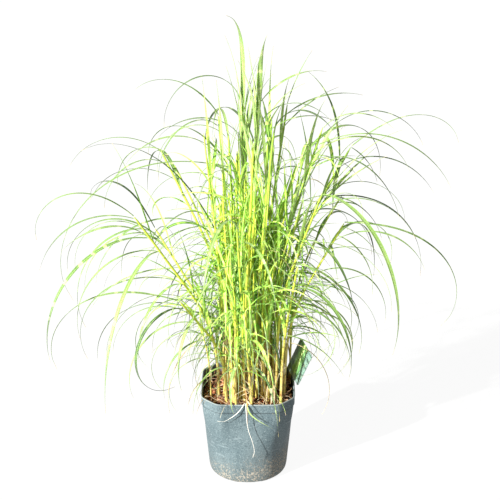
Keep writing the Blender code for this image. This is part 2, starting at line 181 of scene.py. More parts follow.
class StageSettings(bpy.types.PropertyGroup):
    """Camera, lights and floor."""

    camera_distance: a_length("Camera distance", "In front of the pot's middle", 2.5)
    camera_height: a_length("Camera height", "Above floor", 1.506)
    camera_aside: a_length("Camera aside", "To the right", 0.0042)
    camera_pitch: FloatProperty(
        name="Camera pitch", description="Looking down", default=math.radians(22.0), unit="ROTATION"
    )
    lens: a_number("Lens", "Focal length in millimetres", 96.48)
    key_power: a_number("Key", "Sun-like key light", 8.0)
    fill_power: a_number("Fill", "Fill light power", 32.0)
    sky: a_number("Sky", "Strength of the white surround", 0.27)
    floor_glow: a_number("Floor glow", "Keeps the floor pale", 0.93)
    floor_bounce: a_number("Floor bounce", "Light from the floor", 0.50)


SETTINGS = {
    "grass_pot": PotSettings,
    "grass_mix": MixSettings,
    "grass_culm": CulmSettings,
    "grass_blade": BladeSettings,
    "grass_label": LabelSettings,
    "grass_stage": StageSettings,
}


# ---------------------------------------------------------------- materials
class Value:
    """A number or a colour in a material. Sums of values become its nodes."""

    def __init__(self, socket):
        self.socket = socket

    def __add__(self, other):
        return worked_out("ADD", self, other)

    def __sub__(self, other):
        return worked_out("SUBTRACT", self, other)

    def __rsub__(self, other):
        return worked_out("SUBTRACT", other, self, self.socket.id_data)

    def __mul__(self, other):
        return worked_out("MULTIPLY", self, other)

    def __abs__(self):
        return worked_out("ABSOLUTE", self, 0.0)

    def sine(self):
        """Its sine."""
        return worked_out("SINE", self, 0.0)

    def kept_in_range(self):
        """The same sum, kept between 0 and 1."""
        self.socket.node.use_clamp = True
        return self

    def step(self, low, high, to_low=0.0, to_high=1.0):
        """A smooth step from low to high."""
        node = self.socket.id_data.nodes.new("ShaderNodeMapRange")
        node.interpolation_type = "SMOOTHSTEP"
        give(node.inputs["Value"], self)
        for name, number in (("From Min", low), ("From Max", high), ("To Min", to_low), ("To Max", to_high)):
            give(node.inputs[name], number)
        return Value(node.outputs["Result"])


def give(socket, value):
    """Give a socket a value of the material, a colour or a number."""
    if isinstance(value, Value):
        socket.id_data.links.new(value.socket, socket)
    else:
        socket.default_value = (*value, 1.0) if socket.type == "RGBA" else value


def worked_out(operation, first, second, tree=None):
    """One Math node."""
    node = (tree or first.socket.id_data).nodes.new("ShaderNodeMath")
    node.operation = operation
    give(node.inputs[0], first)
    give(node.inputs[1], second)
    return Value(node.outputs[0])


class Finish:
    """A Principled material in the making."""

    def __init__(self, name):
        self.material = bpy.data.materials.new(name)
        self.material.use_nodes = True
        self.tree = self.material.node_tree
        self.shader = self.tree.nodes["Principled BSDF"]

    def parts(self, socket):
        """A vector and its three numbers."""
        split = self.tree.nodes.new("ShaderNodeSeparateXYZ")
        self.tree.links.new(socket, split.inputs[0])
        return [Value(part) for part in (socket, *split.outputs)]

    def attribute(self, name):
        """A vector kept on the mesh, and its three numbers."""
        node = self.tree.nodes.new("ShaderNodeAttribute")
        node.attribute_name = name
        return self.parts(node.outputs["Vector"])

    def place(self):
        """Object coordinates as a vector, and their three numbers."""
        return self.parts(self.tree.nodes.new("ShaderNodeTexCoord").outputs["Object"])

    def noise(self, vector, scale, detail=3.0, roughness=0.55, stretch=None):
        """Noise on a vector, stretched if asked."""
        if stretch is not None:
            mapping = self.tree.nodes.new("ShaderNodeMapping")
            give(mapping.inputs["Scale"], stretch)
            give(mapping.inputs["Vector"], vector)
            vector = Value(mapping.outputs["Vector"])
        node = self.tree.nodes.new("ShaderNodeTexNoise")
        values = {"Scale": scale, "Detail": detail, "Roughness": roughness, "Vector": vector}
        for name, value in values.items():
            give(node.inputs[name], value)
        return Value(node.outputs["Fac"])

    def mix(self, factor, first, second, mode="MIX"):
        """One colour mix."""
        node = self.tree.nodes.new("ShaderNodeMix")
        node.data_type = "RGBA"
        node.blend_type = mode
        for name, value in (("Factor", factor), ("A", first), ("B", second)):
            give(node.inputs[name], value)
        return Value(node.outputs["Result"])

    def done(self, colour, roughness, height, strength, distance, constants):
        """The material with its colour, roughness, bump and plain values."""
        bump = self.tree.nodes.new("ShaderNodeBump")
        for name, value in (("Strength", strength), ("Distance", distance), ("Height", height)):
            give(bump.inputs[name], value)
        normal = Value(bump.outputs["Normal"])
        shown = {"Base Color": colour, "Roughness": roughness, "Normal": normal, **constants}
        for name, value in shown.items():
            give(self.shader.inputs[name], value)
        return self.material


def blade_green(settings, lift=WHITE):
    """Banded blade: green with pale cross bands, a pale midrib, fine veins and dry tips, with painted shade
    darkening it towards the tips.

    "strip" holds metres along, metres across and a number of its own for each blade.
    "tint" holds the share of the length, the tone and the dryness. lift is painted light: it brightens the
    blades inside the clump, where shade falls.
    """
    new = Finish("blade_green")
    place, along, across, _ = new.attribute("strip")
    _, share, tone, dryness = new.attribute("tint")
    patches = new.noise(place, 22.0, 3.0, 0.6)
    # The tone runs from dark green, painted shade, through green to lime, young colour and painted sunlight.
    light = tone + (patches - 0.5) * 0.5
    colour = new.mix(light.step(0.05, 0.5), settings.dark, settings.green)
    colour = new.mix(light.step(0.45, 0.95), colour, settings.lime)

    wobble = new.noise(place, 9.0, 2.0, 0.5)
    bands = (along * (CIRCLE / settings.band_gap) + wobble * 14.0).sine().step(0.62, 0.90)
    strong = new.noise(place, 4.0, 1.0, 0.5, (1.0, 0.2, 1.0)).step(0.42, 0.60)
    colour = new.mix(bands * strong * 0.85, colour, settings.band)

    veins = new.noise(place, 1.0, 2.0, 0.6, (6.0, 4200.0, 1.0))
    colour = new.mix(0.28, colour, new.mix(veins, (0.45, 0.5, 0.4), (1.35, 1.4, 1.2)), "MULTIPLY")
    midrib = abs(across).step(0.00055, 0.00025)
    colour = new.mix(midrib * 0.6, colour, (0.62, 0.74, 0.36))

    # Painted shade: blades darken to grey green towards their tips, light toned ones less.
    faded = (share + (wobble - 0.5) * 0.9).step(0.42, 0.95, 0.0, 0.85 / lift[0])
    faded = (faded * (1.35 - tone)).kept_in_range()
    colour = new.mix(faded, colour, (0.065, 0.09, 0.06))
    # Painted light: lift brightens the blades that sit in the clump's shade.
    colour = new.mix(1.0, colour, lift, "MULTIPLY")

    specks = new.noise(place, 60.0, 4.0, 0.7, (1.0, 2.5, 1.0))
    tip = share.step(0.86, 1.0) + specks * 0.3
    dry = (specks.step(0.70, 0.78) + dryness + tip.step(0.75, 1.2)).kept_in_range()
    colour = new.mix(dry, colour, new.mix(patches, settings.dry, (0.80, 0.68, 0.42)))
    constants = {
        "Specular IOR Level": 0.42,
        "Sheen Weight": 0.06,
        "Subsurface Weight": 0.30,
        "Subsurface Radius": (0.7, 1.0, 0.25),
        "Subsurface Scale": 0.0015,
    }
    return new.done(colour, patches.step(0.2, 0.8, 0.36, 0.58), veins, 0.35, 0.0006, constants)


def culm_green(settings):
    """Culm: straw coloured at the foot, yellow above and green higher up, with darker nodes."""
    new = Finish("culm_green")
    place, along, _, _ = new.attribute("strip")
    _, _, tone, node_ring = new.attribute("tint")
    streaks = new.noise(place, 1.0, 3.0, 0.6, (9.0, 900.0, 1.0))
    mottle = new.noise(place, 26.0, 3.0, 0.6, (1.0, 3.0, 1.0))
    high = along + (mottle - 0.5) * 0.16 + tone * 0.22
    colour = new.mix(high.step(0.02, 0.17), settings.straw, settings.yellow)
    colour = new.mix(high.step(0.18, 0.62), colour, settings.green)
    colour = new.mix(streaks.step(0.46, 0.70, 0.0, 0.75), colour, (0.10, 0.22, 0.02))
    flecks = new.noise(place, 55.0, 4.0, 0.7, (1.0, 4.0, 1.0))
    brown = flecks.step(0.49, 0.62) * along.step(0.22, 0.0)
    colour = new.mix(brown, colour, (0.24, 0.095, 0.02))
    colour = new.mix(node_ring * 0.75, colour, (0.20, 0.24, 0.03))
    roughness = mottle.step(0.3, 0.7, 0.40, 0.62)
    return new.done(colour, roughness, streaks, 0.4, 0.0008, {"Specular IOR Level": 0.4})


def dry_straw(name, pale, deep):
    """Dead sheaths, straw, roots and coir: one colour family along fine streaks."""
    new = Finish(name)
    place = new.attribute("strip")[0]
    _, share, tone, _ = new.attribute("tint")
    streaks = new.noise(place, 1.0, 3.0, 0.6, (14.0, 2600.0, 1.0))
    mottle = new.noise(place, 70.0, 3.0, 0.6)
    light = streaks * 0.6 + tone * 0.6 + share * -0.15
    colour = new.mix(light.step(0.25, 0.85), deep, pale)
    colour = new.mix(mottle.step(0.55, 0.75, 0.0, 0.5), colour, deep)
    return new.done(colour, mottle.step(0.3, 0.7, 0.6, 0.85), streaks, 0.4, 0.0005, {})


def bark(name, settings, on_chips):
    """Bark and coir: damp dark gaps, reddish chips and light split faces."""
    new = Finish(name)
    place = new.place()[0]
    grain = new.noise(place, 420.0, 4.0, 0.65, (1.0, 1.0, 2.2))
    lumps = new.noise(place, 90.0, 4.0, 0.6)
    if on_chips:
        light = new.attribute("tint")[2] + (grain - 0.5) * 0.9
    else:
        light = lumps.step(0.40, 0.70) * grain
    colour = new.mix(light.step(0.10, 0.50), settings.dark, settings.red)
    colour = new.mix(light.step(0.55, 1.0), colour, settings.light)
    roughness = lumps.step(0.3, 0.7, 0.78, 0.95)
    return new.done(colour, roughness, grain, 0.7, 0.0012, {"Specular IOR Level": 0.25})


def pot_plastic(settings):
    """Blue grey moulded plastic: chalky mottling, fine grain, scuffs, dust and a painted highlight on the
    lip, a painted shade line under the rim band, darker towards the foot, and mud on the foot.
    """
    new = Finish("pot_plastic")
    place, across, _, height = new.place()
    clouds = new.noise(place, 16.0, 4.0, 0.6)
    streaks = new.noise(place, 34.0, 4.0, 0.65, (1.0, 1.0, 0.16))
    grain = new.noise(place, 900.0, 2.0, 0.5)
    specks = new.noise(place, 360.0, 4.0, 0.72)
    chalk = clouds * 0.65 + streaks * 0.5
    colour = new.mix(chalk.step(0.42, 0.74), settings.plastic, settings.faded)
    colour = new.mix(specks.step(0.56, 0.68, 0.0, 0.75), colour, (0.36, 0.42, 0.43))
    colour = new.mix(specks.step(0.46, 0.36, 0.0, 0.75), colour, (0.035, 0.055, 0.065))
    scuffs = new.noise(place, 60.0, 2.0, 0.4, (0.35, 0.35, 2.6))
    colour = new.mix(scuffs.step(0.70, 0.74, 0.0, 0.30), colour, (0.42, 0.50, 0.52))

    splashes = new.noise(place, 260.0, 4.0, 0.75)
    reach = new.noise(place, 11.0, 3.0, 0.6)
    # coat is a grey brown darkening towards the foot that reaches higher on the right side, and it also
    # bounds the mud.
    coat = (reach * 0.090 - height + across * 0.22).step(-0.050, 0.040)
    mud = (coat * 0.13 + splashes).step(0.62, 0.66) * coat
    mud_colour = new.mix(grain.step(0.35, 0.65), settings.mud, (0.62, 0.56, 0.46))
    colour = new.mix(coat * 0.30, colour, (0.13, 0.13, 0.115))
    colour = new.mix(mud * 0.85, colour, mud_colour)
    # Painted shade: a dark line just under the step of the rim band.
    painted_shade_under_band = abs(height - (settings.height - settings.band - 0.0014))
    colour = new.mix(painted_shade_under_band.step(0.0016, 0.0004, 0.0, 0.60), colour, (0.030, 0.045, 0.050))
    # Dust and a painted highlight: the top of the lip is paler.
    dust = height.step(settings.height - 0.0032, settings.height - 0.0012)
    colour = new.mix(dust * clouds.step(0.30, 0.60, 0.45, 0.95), colour, (0.32, 0.36, 0.36))
    roughness = (clouds.step(0.3, 0.7, 0.46, 0.66) + mud * 0.3).kept_in_range()
    relief = grain * 0.25 + mud * 1.4 + specks * 0.35
    return new.done(colour, roughness, relief, 0.45, 0.0007, {"Specular IOR Level": 0.45})


def label_card(settings):
    """Printed card: a dark green ground with soft lighter grass like strokes, and a painted shadow on its
    left part.
    """
    new = Finish("label_card")
    _, across, up, _ = new.attribute("strip")
    join = new.tree.nodes.new("ShaderNodeCombineXYZ")
    give(join.inputs[0], across + up * 0.08)
    give(join.inputs[1], up)
    place = Value(join.outputs[0])
    strokes = new.noise(place, 1.0, 2.0, 0.5, (130.0, 14.0, 1.0))
    clouds = new.noise(place, 55.0, 2.0, 0.5)
    colour = new.mix(clouds.step(0.35, 0.65), settings.green, (0.26, 0.50, 0.19))
    aside = across + up * 0.10 + (clouds - 0.5) * 0.016
    for middle, wide, shade in ((0.003, 0.0085, (0.34, 0.60, 0.12)), (0.006, 0.0026, (0.62, 0.80, 0.32))):
        colour = new.mix(abs(aside - middle).step(wide, wide * 0.6, 0.0, 0.95), colour, shade)
    colour = new.mix(strokes.step(0.56, 0.62, 0.0, 0.7), colour, (0.56, 0.76, 0.28))
    colour = new.mix(aside.step(0.018, 0.024) * 0.8, colour, (0.20, 0.30, 0.29))
    # Painted shadow: the left part of the card is darker.
    colour = new.mix(aside.step(-0.008, -0.012) * 0.85, colour, (0.12, 0.20, 0.17))
    pale_foot = (up + clouds * 0.03).step(0.062, 0.050)
    colour = new.mix(pale_foot * 0.7, colour, (0.36, 0.46, 0.45))
    dust = new.noise(place, 900.0, 3.0, 0.6)
    colour = new.mix(dust.step(0.60, 0.72, 0.0, 0.4), colour, (0.24, 0.28, 0.26))
    coat = {"Coat Weight": 0.25, "Coat Roughness": 0.12}
    return new.done(colour, dust.step(0.3, 0.7, 0.24, 0.46), clouds, 0.15, 0.0010, coat)


# ---------------------------------------------------------------- modelling helpers
def nothing_selected():
    """Leave edit mode and deselect everything."""
    if bpy.context.object is not None and bpy.context.object.mode != "OBJECT":
        bpy.ops.object.mode_set(mode="OBJECT")
    bpy.ops.object.select_all(action="DESELECT")


def only_selected(item):
    """Select one object and make it active."""
    nothing_selected()
    item.select_set(True)
    bpy.context.view_layer.objects.active = item


def all_in_edit_mode():
    """Edit mode with the whole piece selected."""
    bpy.ops.object.mode_set(mode="EDIT")
    bpy.ops.mesh.select_all(action="SELECT")


def normals_outward():
    """Turn the normals of the piece in edit mode outward, and leave edit mode."""
    bpy.ops.mesh.normals_make_consistent(inside=False)
    bpy.ops.object.mode_set(mode="OBJECT")


def drawn_out(move):
    """Extrude what is selected by a move."""
    bpy.ops.mesh.extrude_region_move(TRANSFORM_OT_translate={"value": move})


def changed(item, kind, **values):
    """Add one modifier to the active piece and apply it."""
    modifier = item.modifiers.new(kind.lower(), kind)
    for name, value in values.items():
        setattr(modifier, name, value)
    bpy.ops.object.modifier_apply(modifier=modifier.name)


def taken_apart(item):
    """Corners and faces of a scratch piece, which is then removed."""
    mesh = item.data
    corners = np.array([vertex.co for vertex in mesh.vertices])
    faces = [tuple(face.vertices) for face in mesh.polygons]
    bpy.data.objects.remove(item, do_unlink=True)
    bpy.data.meshes.remove(mesh)
    return corners, faces


def smooth_step(low, high, value):
    """0 below low, 1 above high and an even S between."""
    share = np.clip((value - low) / (high - low), 0.0, 1.0)
    return share * share * (3.0 - 2.0 * share)


def unit(vector):
    """A vector of length one."""
    return vector / max(1e-12, float(np.linalg.norm(vector)))


def heading_vector(degrees):
    """Level direction for a heading, 0 along +X and 90 along +Y."""
    turn = math.radians(degrees)
    return np.array((math.cos(turn), math.sin(turn), 0.0))


def finished(item, material, slot, *nodes, smooth=60.0):
    """Shade a piece, give it its material and seat it in the frame."""
    only_selected(item)
    bpy.ops.object.shade_smooth_by_angle(angle=math.radians(smooth))
    item.data.materials.clear()
    item.data.materials.append(material)
    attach(item, BODY)
    if nodes:
        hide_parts(*nodes)
    nothing_selected()


def strip_map(places, faces):
    """Bake map of a strip: top in the lower half of the map, underside in the upper half."""
    spots = []
    for face in faces:
        corners = places[list(face)]
        on_start_edge = np.all(corners[:, 1] < -0.499)
        for x, y, z in corners:
            if z > 0.0:
                over = 0.98 if on_start_edge else 0.02 + 0.46 * (y + 0.5)
            else:
                over = 0.50 + 0.46 * (0.5 - y)
            spots.append((x, over))
    return np.array(spots)


def tube_map(places, faces):
    """Bake map of a rod: once round in the map's height, foot to top along its width."""
    spots = []
    for face in faces:
        corners = places[list(face)]
        turns = (np.arctan2(corners[:, 1], corners[:, 0]) / CIRCLE) % 1.0
        if turns.max() - turns.min() > 0.5:
            turns = np.where(turns < 0.5, turns + 1.0, turns)
        spots.extend((corner[2], turn * 0.86 + 0.02) for corner, turn in zip(corners, turns))
    return np.array(spots)


def strip_pattern(steps, columns):
    """A thin closed strip from x = 0 to 1, one wide and one thick, to be laid along a line."""
    nothing_selected()
    bpy.ops.mesh.primitive_grid_add(
        x_subdivisions=steps, y_subdivisions=columns, size=1.0, location=(0.5, 0.0, 0.0)
    )
    item = bpy.context.active_object
    bpy.ops.object.transform_apply(location=True, rotation=False, scale=False)
    changed(item, "SOLIDIFY", thickness=1.0, offset=0.0)
    places, faces = taken_apart(item)
    return places, faces, strip_map(places, faces)


def tube_pattern(rings, sides):
    """A closed round rod from z = 0 to 1 with a radius of one, to be laid along a line."""
    nothing_selected()
    bpy.ops.mesh.primitive_cylinder_add(
        vertices=sides, radius=1.0, depth=1.0, end_fill_type="TRIFAN", location=(0.0, 0.0, 0.5)
    )
    item = bpy.context.active_object
    bpy.ops.object.transform_apply(location=True, rotation=False, scale=False)
    bpy.ops.object.mode_set(mode="EDIT")
    shape = bmesh.from_edit_mesh(item.data)
    for edge in shape.edges:
        edge.select = abs(edge.verts[0].co.z - edge.verts[1].co.z) > 0.5
    bmesh.update_edit_mesh(item.data)
    bpy.ops.mesh.subdivide(number_cuts=rings - 1)
    bpy.ops.object.mode_set(mode="OBJECT")
    places, faces = taken_apart(item)
    return places, faces, tube_map(places, faces)


class Line:
    """A smooth middle line with directions that turn as little as they can along it."""

    def __init__(self, points, side, count=160):
        points = np.asarray(points, float)
        gaps = np.linalg.norm(np.diff(points, axis=0), axis=1)
        at = np.concatenate(((0.0,), np.cumsum(gaps)))
        slopes = np.gradient(points, at, axis=0)
        want = np.linspace(0.0, at[-1], count + 1)
        i = np.clip(np.searchsorted(at, want) - 1, 0, len(at) - 2)
        gap = (at[i + 1] - at[i])[:, None]
        t = ((want - at[i]) / (at[i + 1] - at[i]))[:, None]
        self.points = (
            (2 * t**3 - 3 * t**2 + 1) * points[i]
            + (t**3 - 2 * t**2 + t) * gap * slopes[i]
            + (3 * t**2 - 2 * t**3) * points[i + 1]
            + (t**3 - t**2) * gap * slopes[i + 1]
        )
        self.length = float(at[-1])
        tangents = np.gradient(self.points, axis=0)
        self.tangents = tangents / np.linalg.norm(tangents, axis=1)[:, None]
        sides = []
        for tangent in self.tangents:
            side = unit(side - tangent * side.dot(tangent))
            sides.append(side)
        self.sides = np.array(sides)
        self.ups = np.cross(self.tangents, self.sides)

    def read(self, values, share):
        """Points, tangents, sides or ups of the line at shares of its length."""
        at = np.clip(share, 0.0, 1.0) * (len(self.points) - 1)
        i = np.minimum(at.astype(int), len(self.points) - 2)
        t = (at - i)[:, None]
        return values[i] * (1.0 - t) + values[i + 1] * t

    def place(self, share):
        """Point and direction at one share of the length."""
        share = np.array([share])
        return self.read(self.points, share)[0], unit(self.read(self.tangents, share)[0])


def marked(share, line, aside, number, tone, last):
    """What the materials read: the "strip" and "tint" of every corner."""
    full = np.ones(len(share))
    strip = np.column_stack((share * line.length, aside, full * (number * PATTERN_SHIFT)))
    return strip, np.column_stack((share, full * tone, full * last))


def laid_strip(pattern, line, half_width, thickness, curl, twist, tone, dryness, number):
    """Lay a strip along a line. half_width, curl and twist take shares of the length."""
    corners, faces, spots = pattern
    share, over, face = corners[:, 0], corners[:, 1] * 2.0, corners[:, 2] * 2.0
    half = half_width(share)
    bend = np.maximum(curl(share), 1e-3)
    angle = over * bend
    radius = half / bend
    rib = 1.0 + 1.1 * np.exp(-((over / 0.16) ** 2)) * (face < 0)
    skin = thickness * 0.5 * face * rib * (1.0 - 0.45 * over**2)
    sideways = radius * np.sin(angle) - skin * np.sin(angle)
    upward = radius * (1.0 - np.cos(angle)) + skin * np.cos(angle)
    turn = twist(share)
    sides, ups = line.read(line.sides, share), line.read(line.ups, share)
    cosine, sine = np.cos(turn)[:, None], np.sin(turn)[:, None]
    turned_sides = sides * cosine + ups * sine
    turned_ups = ups * cosine - sides * sine
    places = line.read(line.points, share) + turned_sides * sideways[:, None] + turned_ups * upward[:, None]
    return places, faces, spots, *marked(share, line, over * half, number, tone, dryness)


def laid_tube(pattern, line, radius, tone, number, ring=None):
    """Lay a rod along a line. radius and ring take shares of the length."""
    corners, faces, spots = pattern
    x, y, share = corners.T
    size = radius(share)[:, None]
    sides, ups = line.read(line.sides, share), line.read(line.ups, share)
    places = line.read(line.points, share) + (sides * x[:, None] + ups * y[:, None]) * size
    around = np.abs(np.arctan2(y, x)) / math.pi * 0.012
    return places, faces, spots, *marked(share, line, around, number, tone, ring(share) if ring else 0.0)


def joined(name, parts):
    """One mesh object from laid parts, with their attributes and a tidy bake map of rows."""
    columns = max(1, round(math.sqrt(len(parts) / 16.0)))
    rows = math.ceil(len(parts) / columns)
    faces, spots = [], []
    start = 0
    for number, (corners, part_faces, part_spots, _, _) in enumerate(parts):
        faces.extend([tuple(corner + start for corner in face) for face in part_faces])
        cell = np.array((number % columns, number // columns), float)
        spots.append((part_spots * (0.98, 0.98) + 0.01 + cell) / (columns, rows))
        start += len(corners)
    mesh = bpy.data.meshes.new(name)
    mesh.from_pydata(np.concatenate([part[0] for part in parts]).tolist(), [], faces)
    bake_map = mesh.uv_layers.new(name=BAKE_MAP)
    bake_map.data.foreach_set("uv", np.concatenate(spots).astype(np.float32).ravel())
    for mark, column in (("strip", 3), ("tint", 4)):
        layer = mesh.attributes.new(mark, "FLOAT_VECTOR", "POINT")
        values = np.concatenate([part[column] for part in parts])
        layer.data.foreach_set("vector", values.astype(np.float32).ravel())
    item = bpy.data.objects.new(name, mesh)
    bpy.context.scene.collection.objects.link(item)
    only_selected(item)
    all_in_edit_mode()
    normals_outward()
    return item


# ---------------------------------------------------------------- middle lines from the solids
def corner_web(node):
    """The corners of a solid and which corners share an edge."""
    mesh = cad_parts[node].data
    loose = np.array([vertex.co for vertex in mesh.vertices])
    known = np.full(len(loose), -1)
    places = []
    for i, place in enumerate(loose):
        if known[i] < 0:
            known[np.abs(loose - place).max(axis=1) < 5e-5] = len(places)
            places.append(place)
    near = [set() for _ in places]
    for face in mesh.polygons:
        corners = [int(known[i]) for i in face.vertices]
        for first in corners:
            near[first].update(corners)
    return np.array(places), near


def ring_steps(near, begin):
    """How many rings each corner is from the corners of the first ring."""
    step = dict.fromkeys(begin, 0)
    edge = begin
    while edge:
        following = []
        for i in edge:
            for j in near[i]:
                if j not in step:
                    step[j] = step[i] + 1
                    following.append(j)
        edge = following
    return step


def spine(node, sides):
    """Middles and half widths of the rings of a slender solid, and its widest directions."""
    places, near = corner_web(node)
    step = ring_steps(near, [0])
    end = max(step, key=lambda i: (step[i], np.linalg.norm(places[i] - places[0])))
    first_ring = np.argsort(np.linalg.norm(places - places[end], axis=1))[:sides]
    step = ring_steps(near, [int(i) for i in first_ring])
    middles, halves, widest = [], [], []
    for ring in range(max(step.values()) + 1):
        corners = places[[i for i in step if step[i] == ring]]
        off = np.linalg.norm(corners - np.median(corners, axis=0), axis=1)
        corners = corners[off < 3.0 * np.median(off)]
        middles.append(corners.mean(axis=0))
        apart = corners[:, None] - corners[None]
        spread = np.linalg.norm(apart, axis=2)
        i, j = np.unravel_index(spread.argmax(), spread.shape)
        halves.append(spread.max() / 2.0)
        widest.append(apart[i, j])
    return np.array(middles), np.array(halves), widest


# Middle lines with their sizes, filled by read_lines and read_young_lines.
CULM_LINES = {}
BLADE_LINES = {}
YOUNG_LINES = []


def read_lines():
    """Fill the tables of middle lines for the culms and the blades, each from its foot."""
    for node in sorted(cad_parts):
        if node.startswith("cane_"):
            middles, halves, _ = spine(node, 6)
            if middles[0][2] > middles[-1][2]:
                middles, halves = middles[::-1], halves[::-1]
            CULM_LINES[node] = (Line(middles, np.array((0.0, 1.0, 0.0))), halves.max(), halves[-1])
        elif node.startswith("leaf_"):
            middles, halves, widest = spine(node, 4)
            if halves[0] < halves[-1]:
                middles, halves, widest = middles[::-1], halves[::-1], widest[::-1]
            away = middles - middles[0]
            away[:, 2] = 0.0
            far = away[np.linalg.norm(away, axis=1).argmax()]
            side = unit(widest[len(widest) // 3])
            if side.dot(np.cross(UPRIGHT, far)) < 0.0:
                side = -side
            BLADE_LINES[node] = (Line(middles, side), halves.max())


def bent_line(root, heading, rise, fall, late, length, drift=0.0, steps=40):
    """Middle line that leaves root at the rise, ends at the fall, and swings by drift (degrees)."""
    share = (np.arange(steps) + 0.5) / steps
    slope = np.radians(rise + (fall - rise) * share**late)
    turn = np.radians(heading + drift * share**1.5)
    moves = np.column_stack((np.cos(turn) * np.cos(slope), np.sin(turn) * np.cos(slope), np.sin(slope)))
    moves = moves * (length / steps)
    points = np.vstack((root, root + np.cumsum(moves, axis=0)))
    return Line(points, np.cross(UPRIGHT, heading_vector(heading)), steps * 2)


def short_enough(root, heading, rise, fall, late, length, drift, lowest=0.205):
    """A bent line cut shorter until its tip stays above the rim."""
    bent = bent_line(root, heading, rise, fall, late, length, drift, 28)
    while bent.points[:, 2].min() < lowest and length > 0.04:
        length *= 0.85
        bent = bent_line(root, heading, rise, fall, late, length, drift, 28)
    return bent


# The room kept free for the label: across, its back, and its level seen along a slope from above.
LABEL_ACROSS = (0.064, 0.122)
LABEL_BACK = 0.030
LABEL_LEVEL = (0.190, 0.288)
SIGHT_SLOPE = 0.508


def clear_of_label(line):
    """True if a blade or a culm leaves the front of the label free."""
    x, y, z = line.points.T
    level = z + SIGHT_SLOPE * (y + 0.010)
    before = (x > LABEL_ACROSS[0]) & (x < LABEL_ACROSS[1]) & (y < LABEL_BACK)
    before &= (level > LABEL_LEVEL[0]) & (level < LABEL_LEVEL[1])
    return not before.any()


def blade_form(half, base_curl=1.15, open_curl=0.32, foot=0.52):
    """Width and curl along a blade: clasping and narrow at its foot, pointed at its tip."""

    def half_width(share):
        opening = foot + (1.0 - foot) * smooth_step(0.0, 0.22, share)
        return half * opening * (1.0 - smooth_step(0.42, 1.0, share) * 0.95)

    def curl(share):
        return base_curl + (open_curl - base_curl) * smooth_step(0.0, 0.16, share)

    return half_width, curl


def blade_twist(rng, most):
    """A turn about the middle line that grows towards the tip, with a slow wave."""
    turn = rng.uniform(-most, most)
    wave = rng.uniform(-0.22, 0.22)
    phase = rng.uniform(0.0, 6.28)
    return lambda share: turn * share**1.4 + wave * np.sin(share * 7.0 + phase) * share


def tapered(size, start, loss):
    """A radius that gets smaller along the length by the loss, from start times the size."""
    return lambda share: size * (start - loss * share)


def laid_blade(
    pattern, line, half, rng, number, tone, dryness=0.0, most_twist=0.9, thickness=0.00042, foot=0.52
):
    """One grass blade along a line."""
    half_width, curl = blade_form(half, foot=foot)
    twist = blade_twist(rng, most_twist)
    return laid_strip(pattern, line, half_width, thickness, curl, twist, tone, dryness, number)


# ---------------------------------------------------------------- pot and mix
# The higher, the sharper the corners of the rim.
CORNER_ROUNDING = 34
# How much further out than its flats the rim would be if it were round.
ROUND_FLARE = 0.004
# How much narrower the eight sided form is at the ground than at the rim.
FOOT_TAPER = 0.13
# Levels between which the round wall turns into the eight sided one.
TURNING = (0.28, 0.86)
# Drainage slots: size across the wall, along it and up, how far in they sit, and the first one's heading.
SLOT_SIZE = (0.021, 0.046, 0.010)
SLOT_INSET = 0.0025
SLOT_HEADING = 274.0
# The mix: the mound's radius and rise, the crumbs on it, and how far it sinks at the wall.
MOUND_RADIUS = 0.085
MOUND_RISE = 0.004
CRUMB_HEIGHT = 0.0016
CRUMB_SCALE = 190.0
EDGE_SINK = 0.0035


def octagon_radius(angle, settings):
    """Half of the rim's width at an angle: a square with cut, slightly rounded corners."""
    half = settings.across_flats / 2.0
    corner = (2.0 * half - settings.corner_cut) / math.sqrt(2.0)
    total = 0.0
    for k in range(8):
        facing = math.cos(angle - k * math.pi / 4.0)
        if facing > 0.0:
            reach = half if k % 2 == 0 else corner
            total += (facing / reach) ** CORNER_ROUNDING
    return total ** (-1.0 / CORNER_ROUNDING)


def round_radius(height, settings):
    """The wall as it would be on a round pot."""
    foot = settings.base_diameter / 2.0
    return foot + (settings.across_flats / 2.0 + ROUND_FLARE - foot) * height / settings.height


def pot_radius(angle, height, settings):
    """Outside of the wall: a round foot that turns into the eight sided rim."""
    level = height / settings.height
    eight_sided = octagon_radius(angle, settings) * (1.0 - FOOT_TAPER * (1.0 - level))
    share = float(smooth_step(*TURNING, level))
    return round_radius(height, settings) * (1.0 - share) + eight_sided * share


def drawn_body(name, section, sides):
    """A round body drawn up ring by ring from a filled circle, (radius, height) after (radius, height)."""
    nothing_selected()
    radius, height = section[0]
    bpy.ops.mesh.primitive_circle_add(
        vertices=sides, radius=radius, fill_type="NGON", location=(0.0, 0.0, height)
    )
    body = bpy.context.active_object
    body.name = name
    bpy.ops.object.transform_apply(location=True, rotation=False, scale=False)
    all_in_edit_mode()
    bpy.ops.mesh.select_mode(type="EDGE")
    bpy.ops.mesh.region_to_loop()
    for next_radius, next_height in section[1:]:
        drawn_out((0.0, 0.0, next_height - height))
        grow = next_radius / radius
        bpy.ops.transform.resize(value=(grow, grow, 1.0), center_override=(0.0, 0.0, next_height))
        radius, height = next_radius, next_height
    bpy.ops.mesh.edge_face_add()
    bpy.ops.mesh.select_all(action="SELECT")
    normals_outward()
    return body


def eight_sided(body, settings):
    """Press a round body into the pot's form: round at the foot, eight sided at the rim."""
    for vertex in body.data.vertices:
        x, y, z = vertex.co
        reach = math.hypot(x, y)
        if reach < 1e-6:
            continue
        height = 0.0 if z < 0.0019 else z
        if z > settings.height - settings.lip + 0.0004:
            height = settings.height
        round_wall = round_radius(height, settings)
        wall = pot_radius(math.atan2(y, x), height, settings)
        depth = min(1.0, (round_wall - reach) / round_wall)
        new_reach = wall * (1.0 - depth) if reach < round_wall * 0.9 else wall + reach - round_wall
        grow = new_reach / reach
        vertex.co.x = x * grow
        vertex.co.y = y * grow


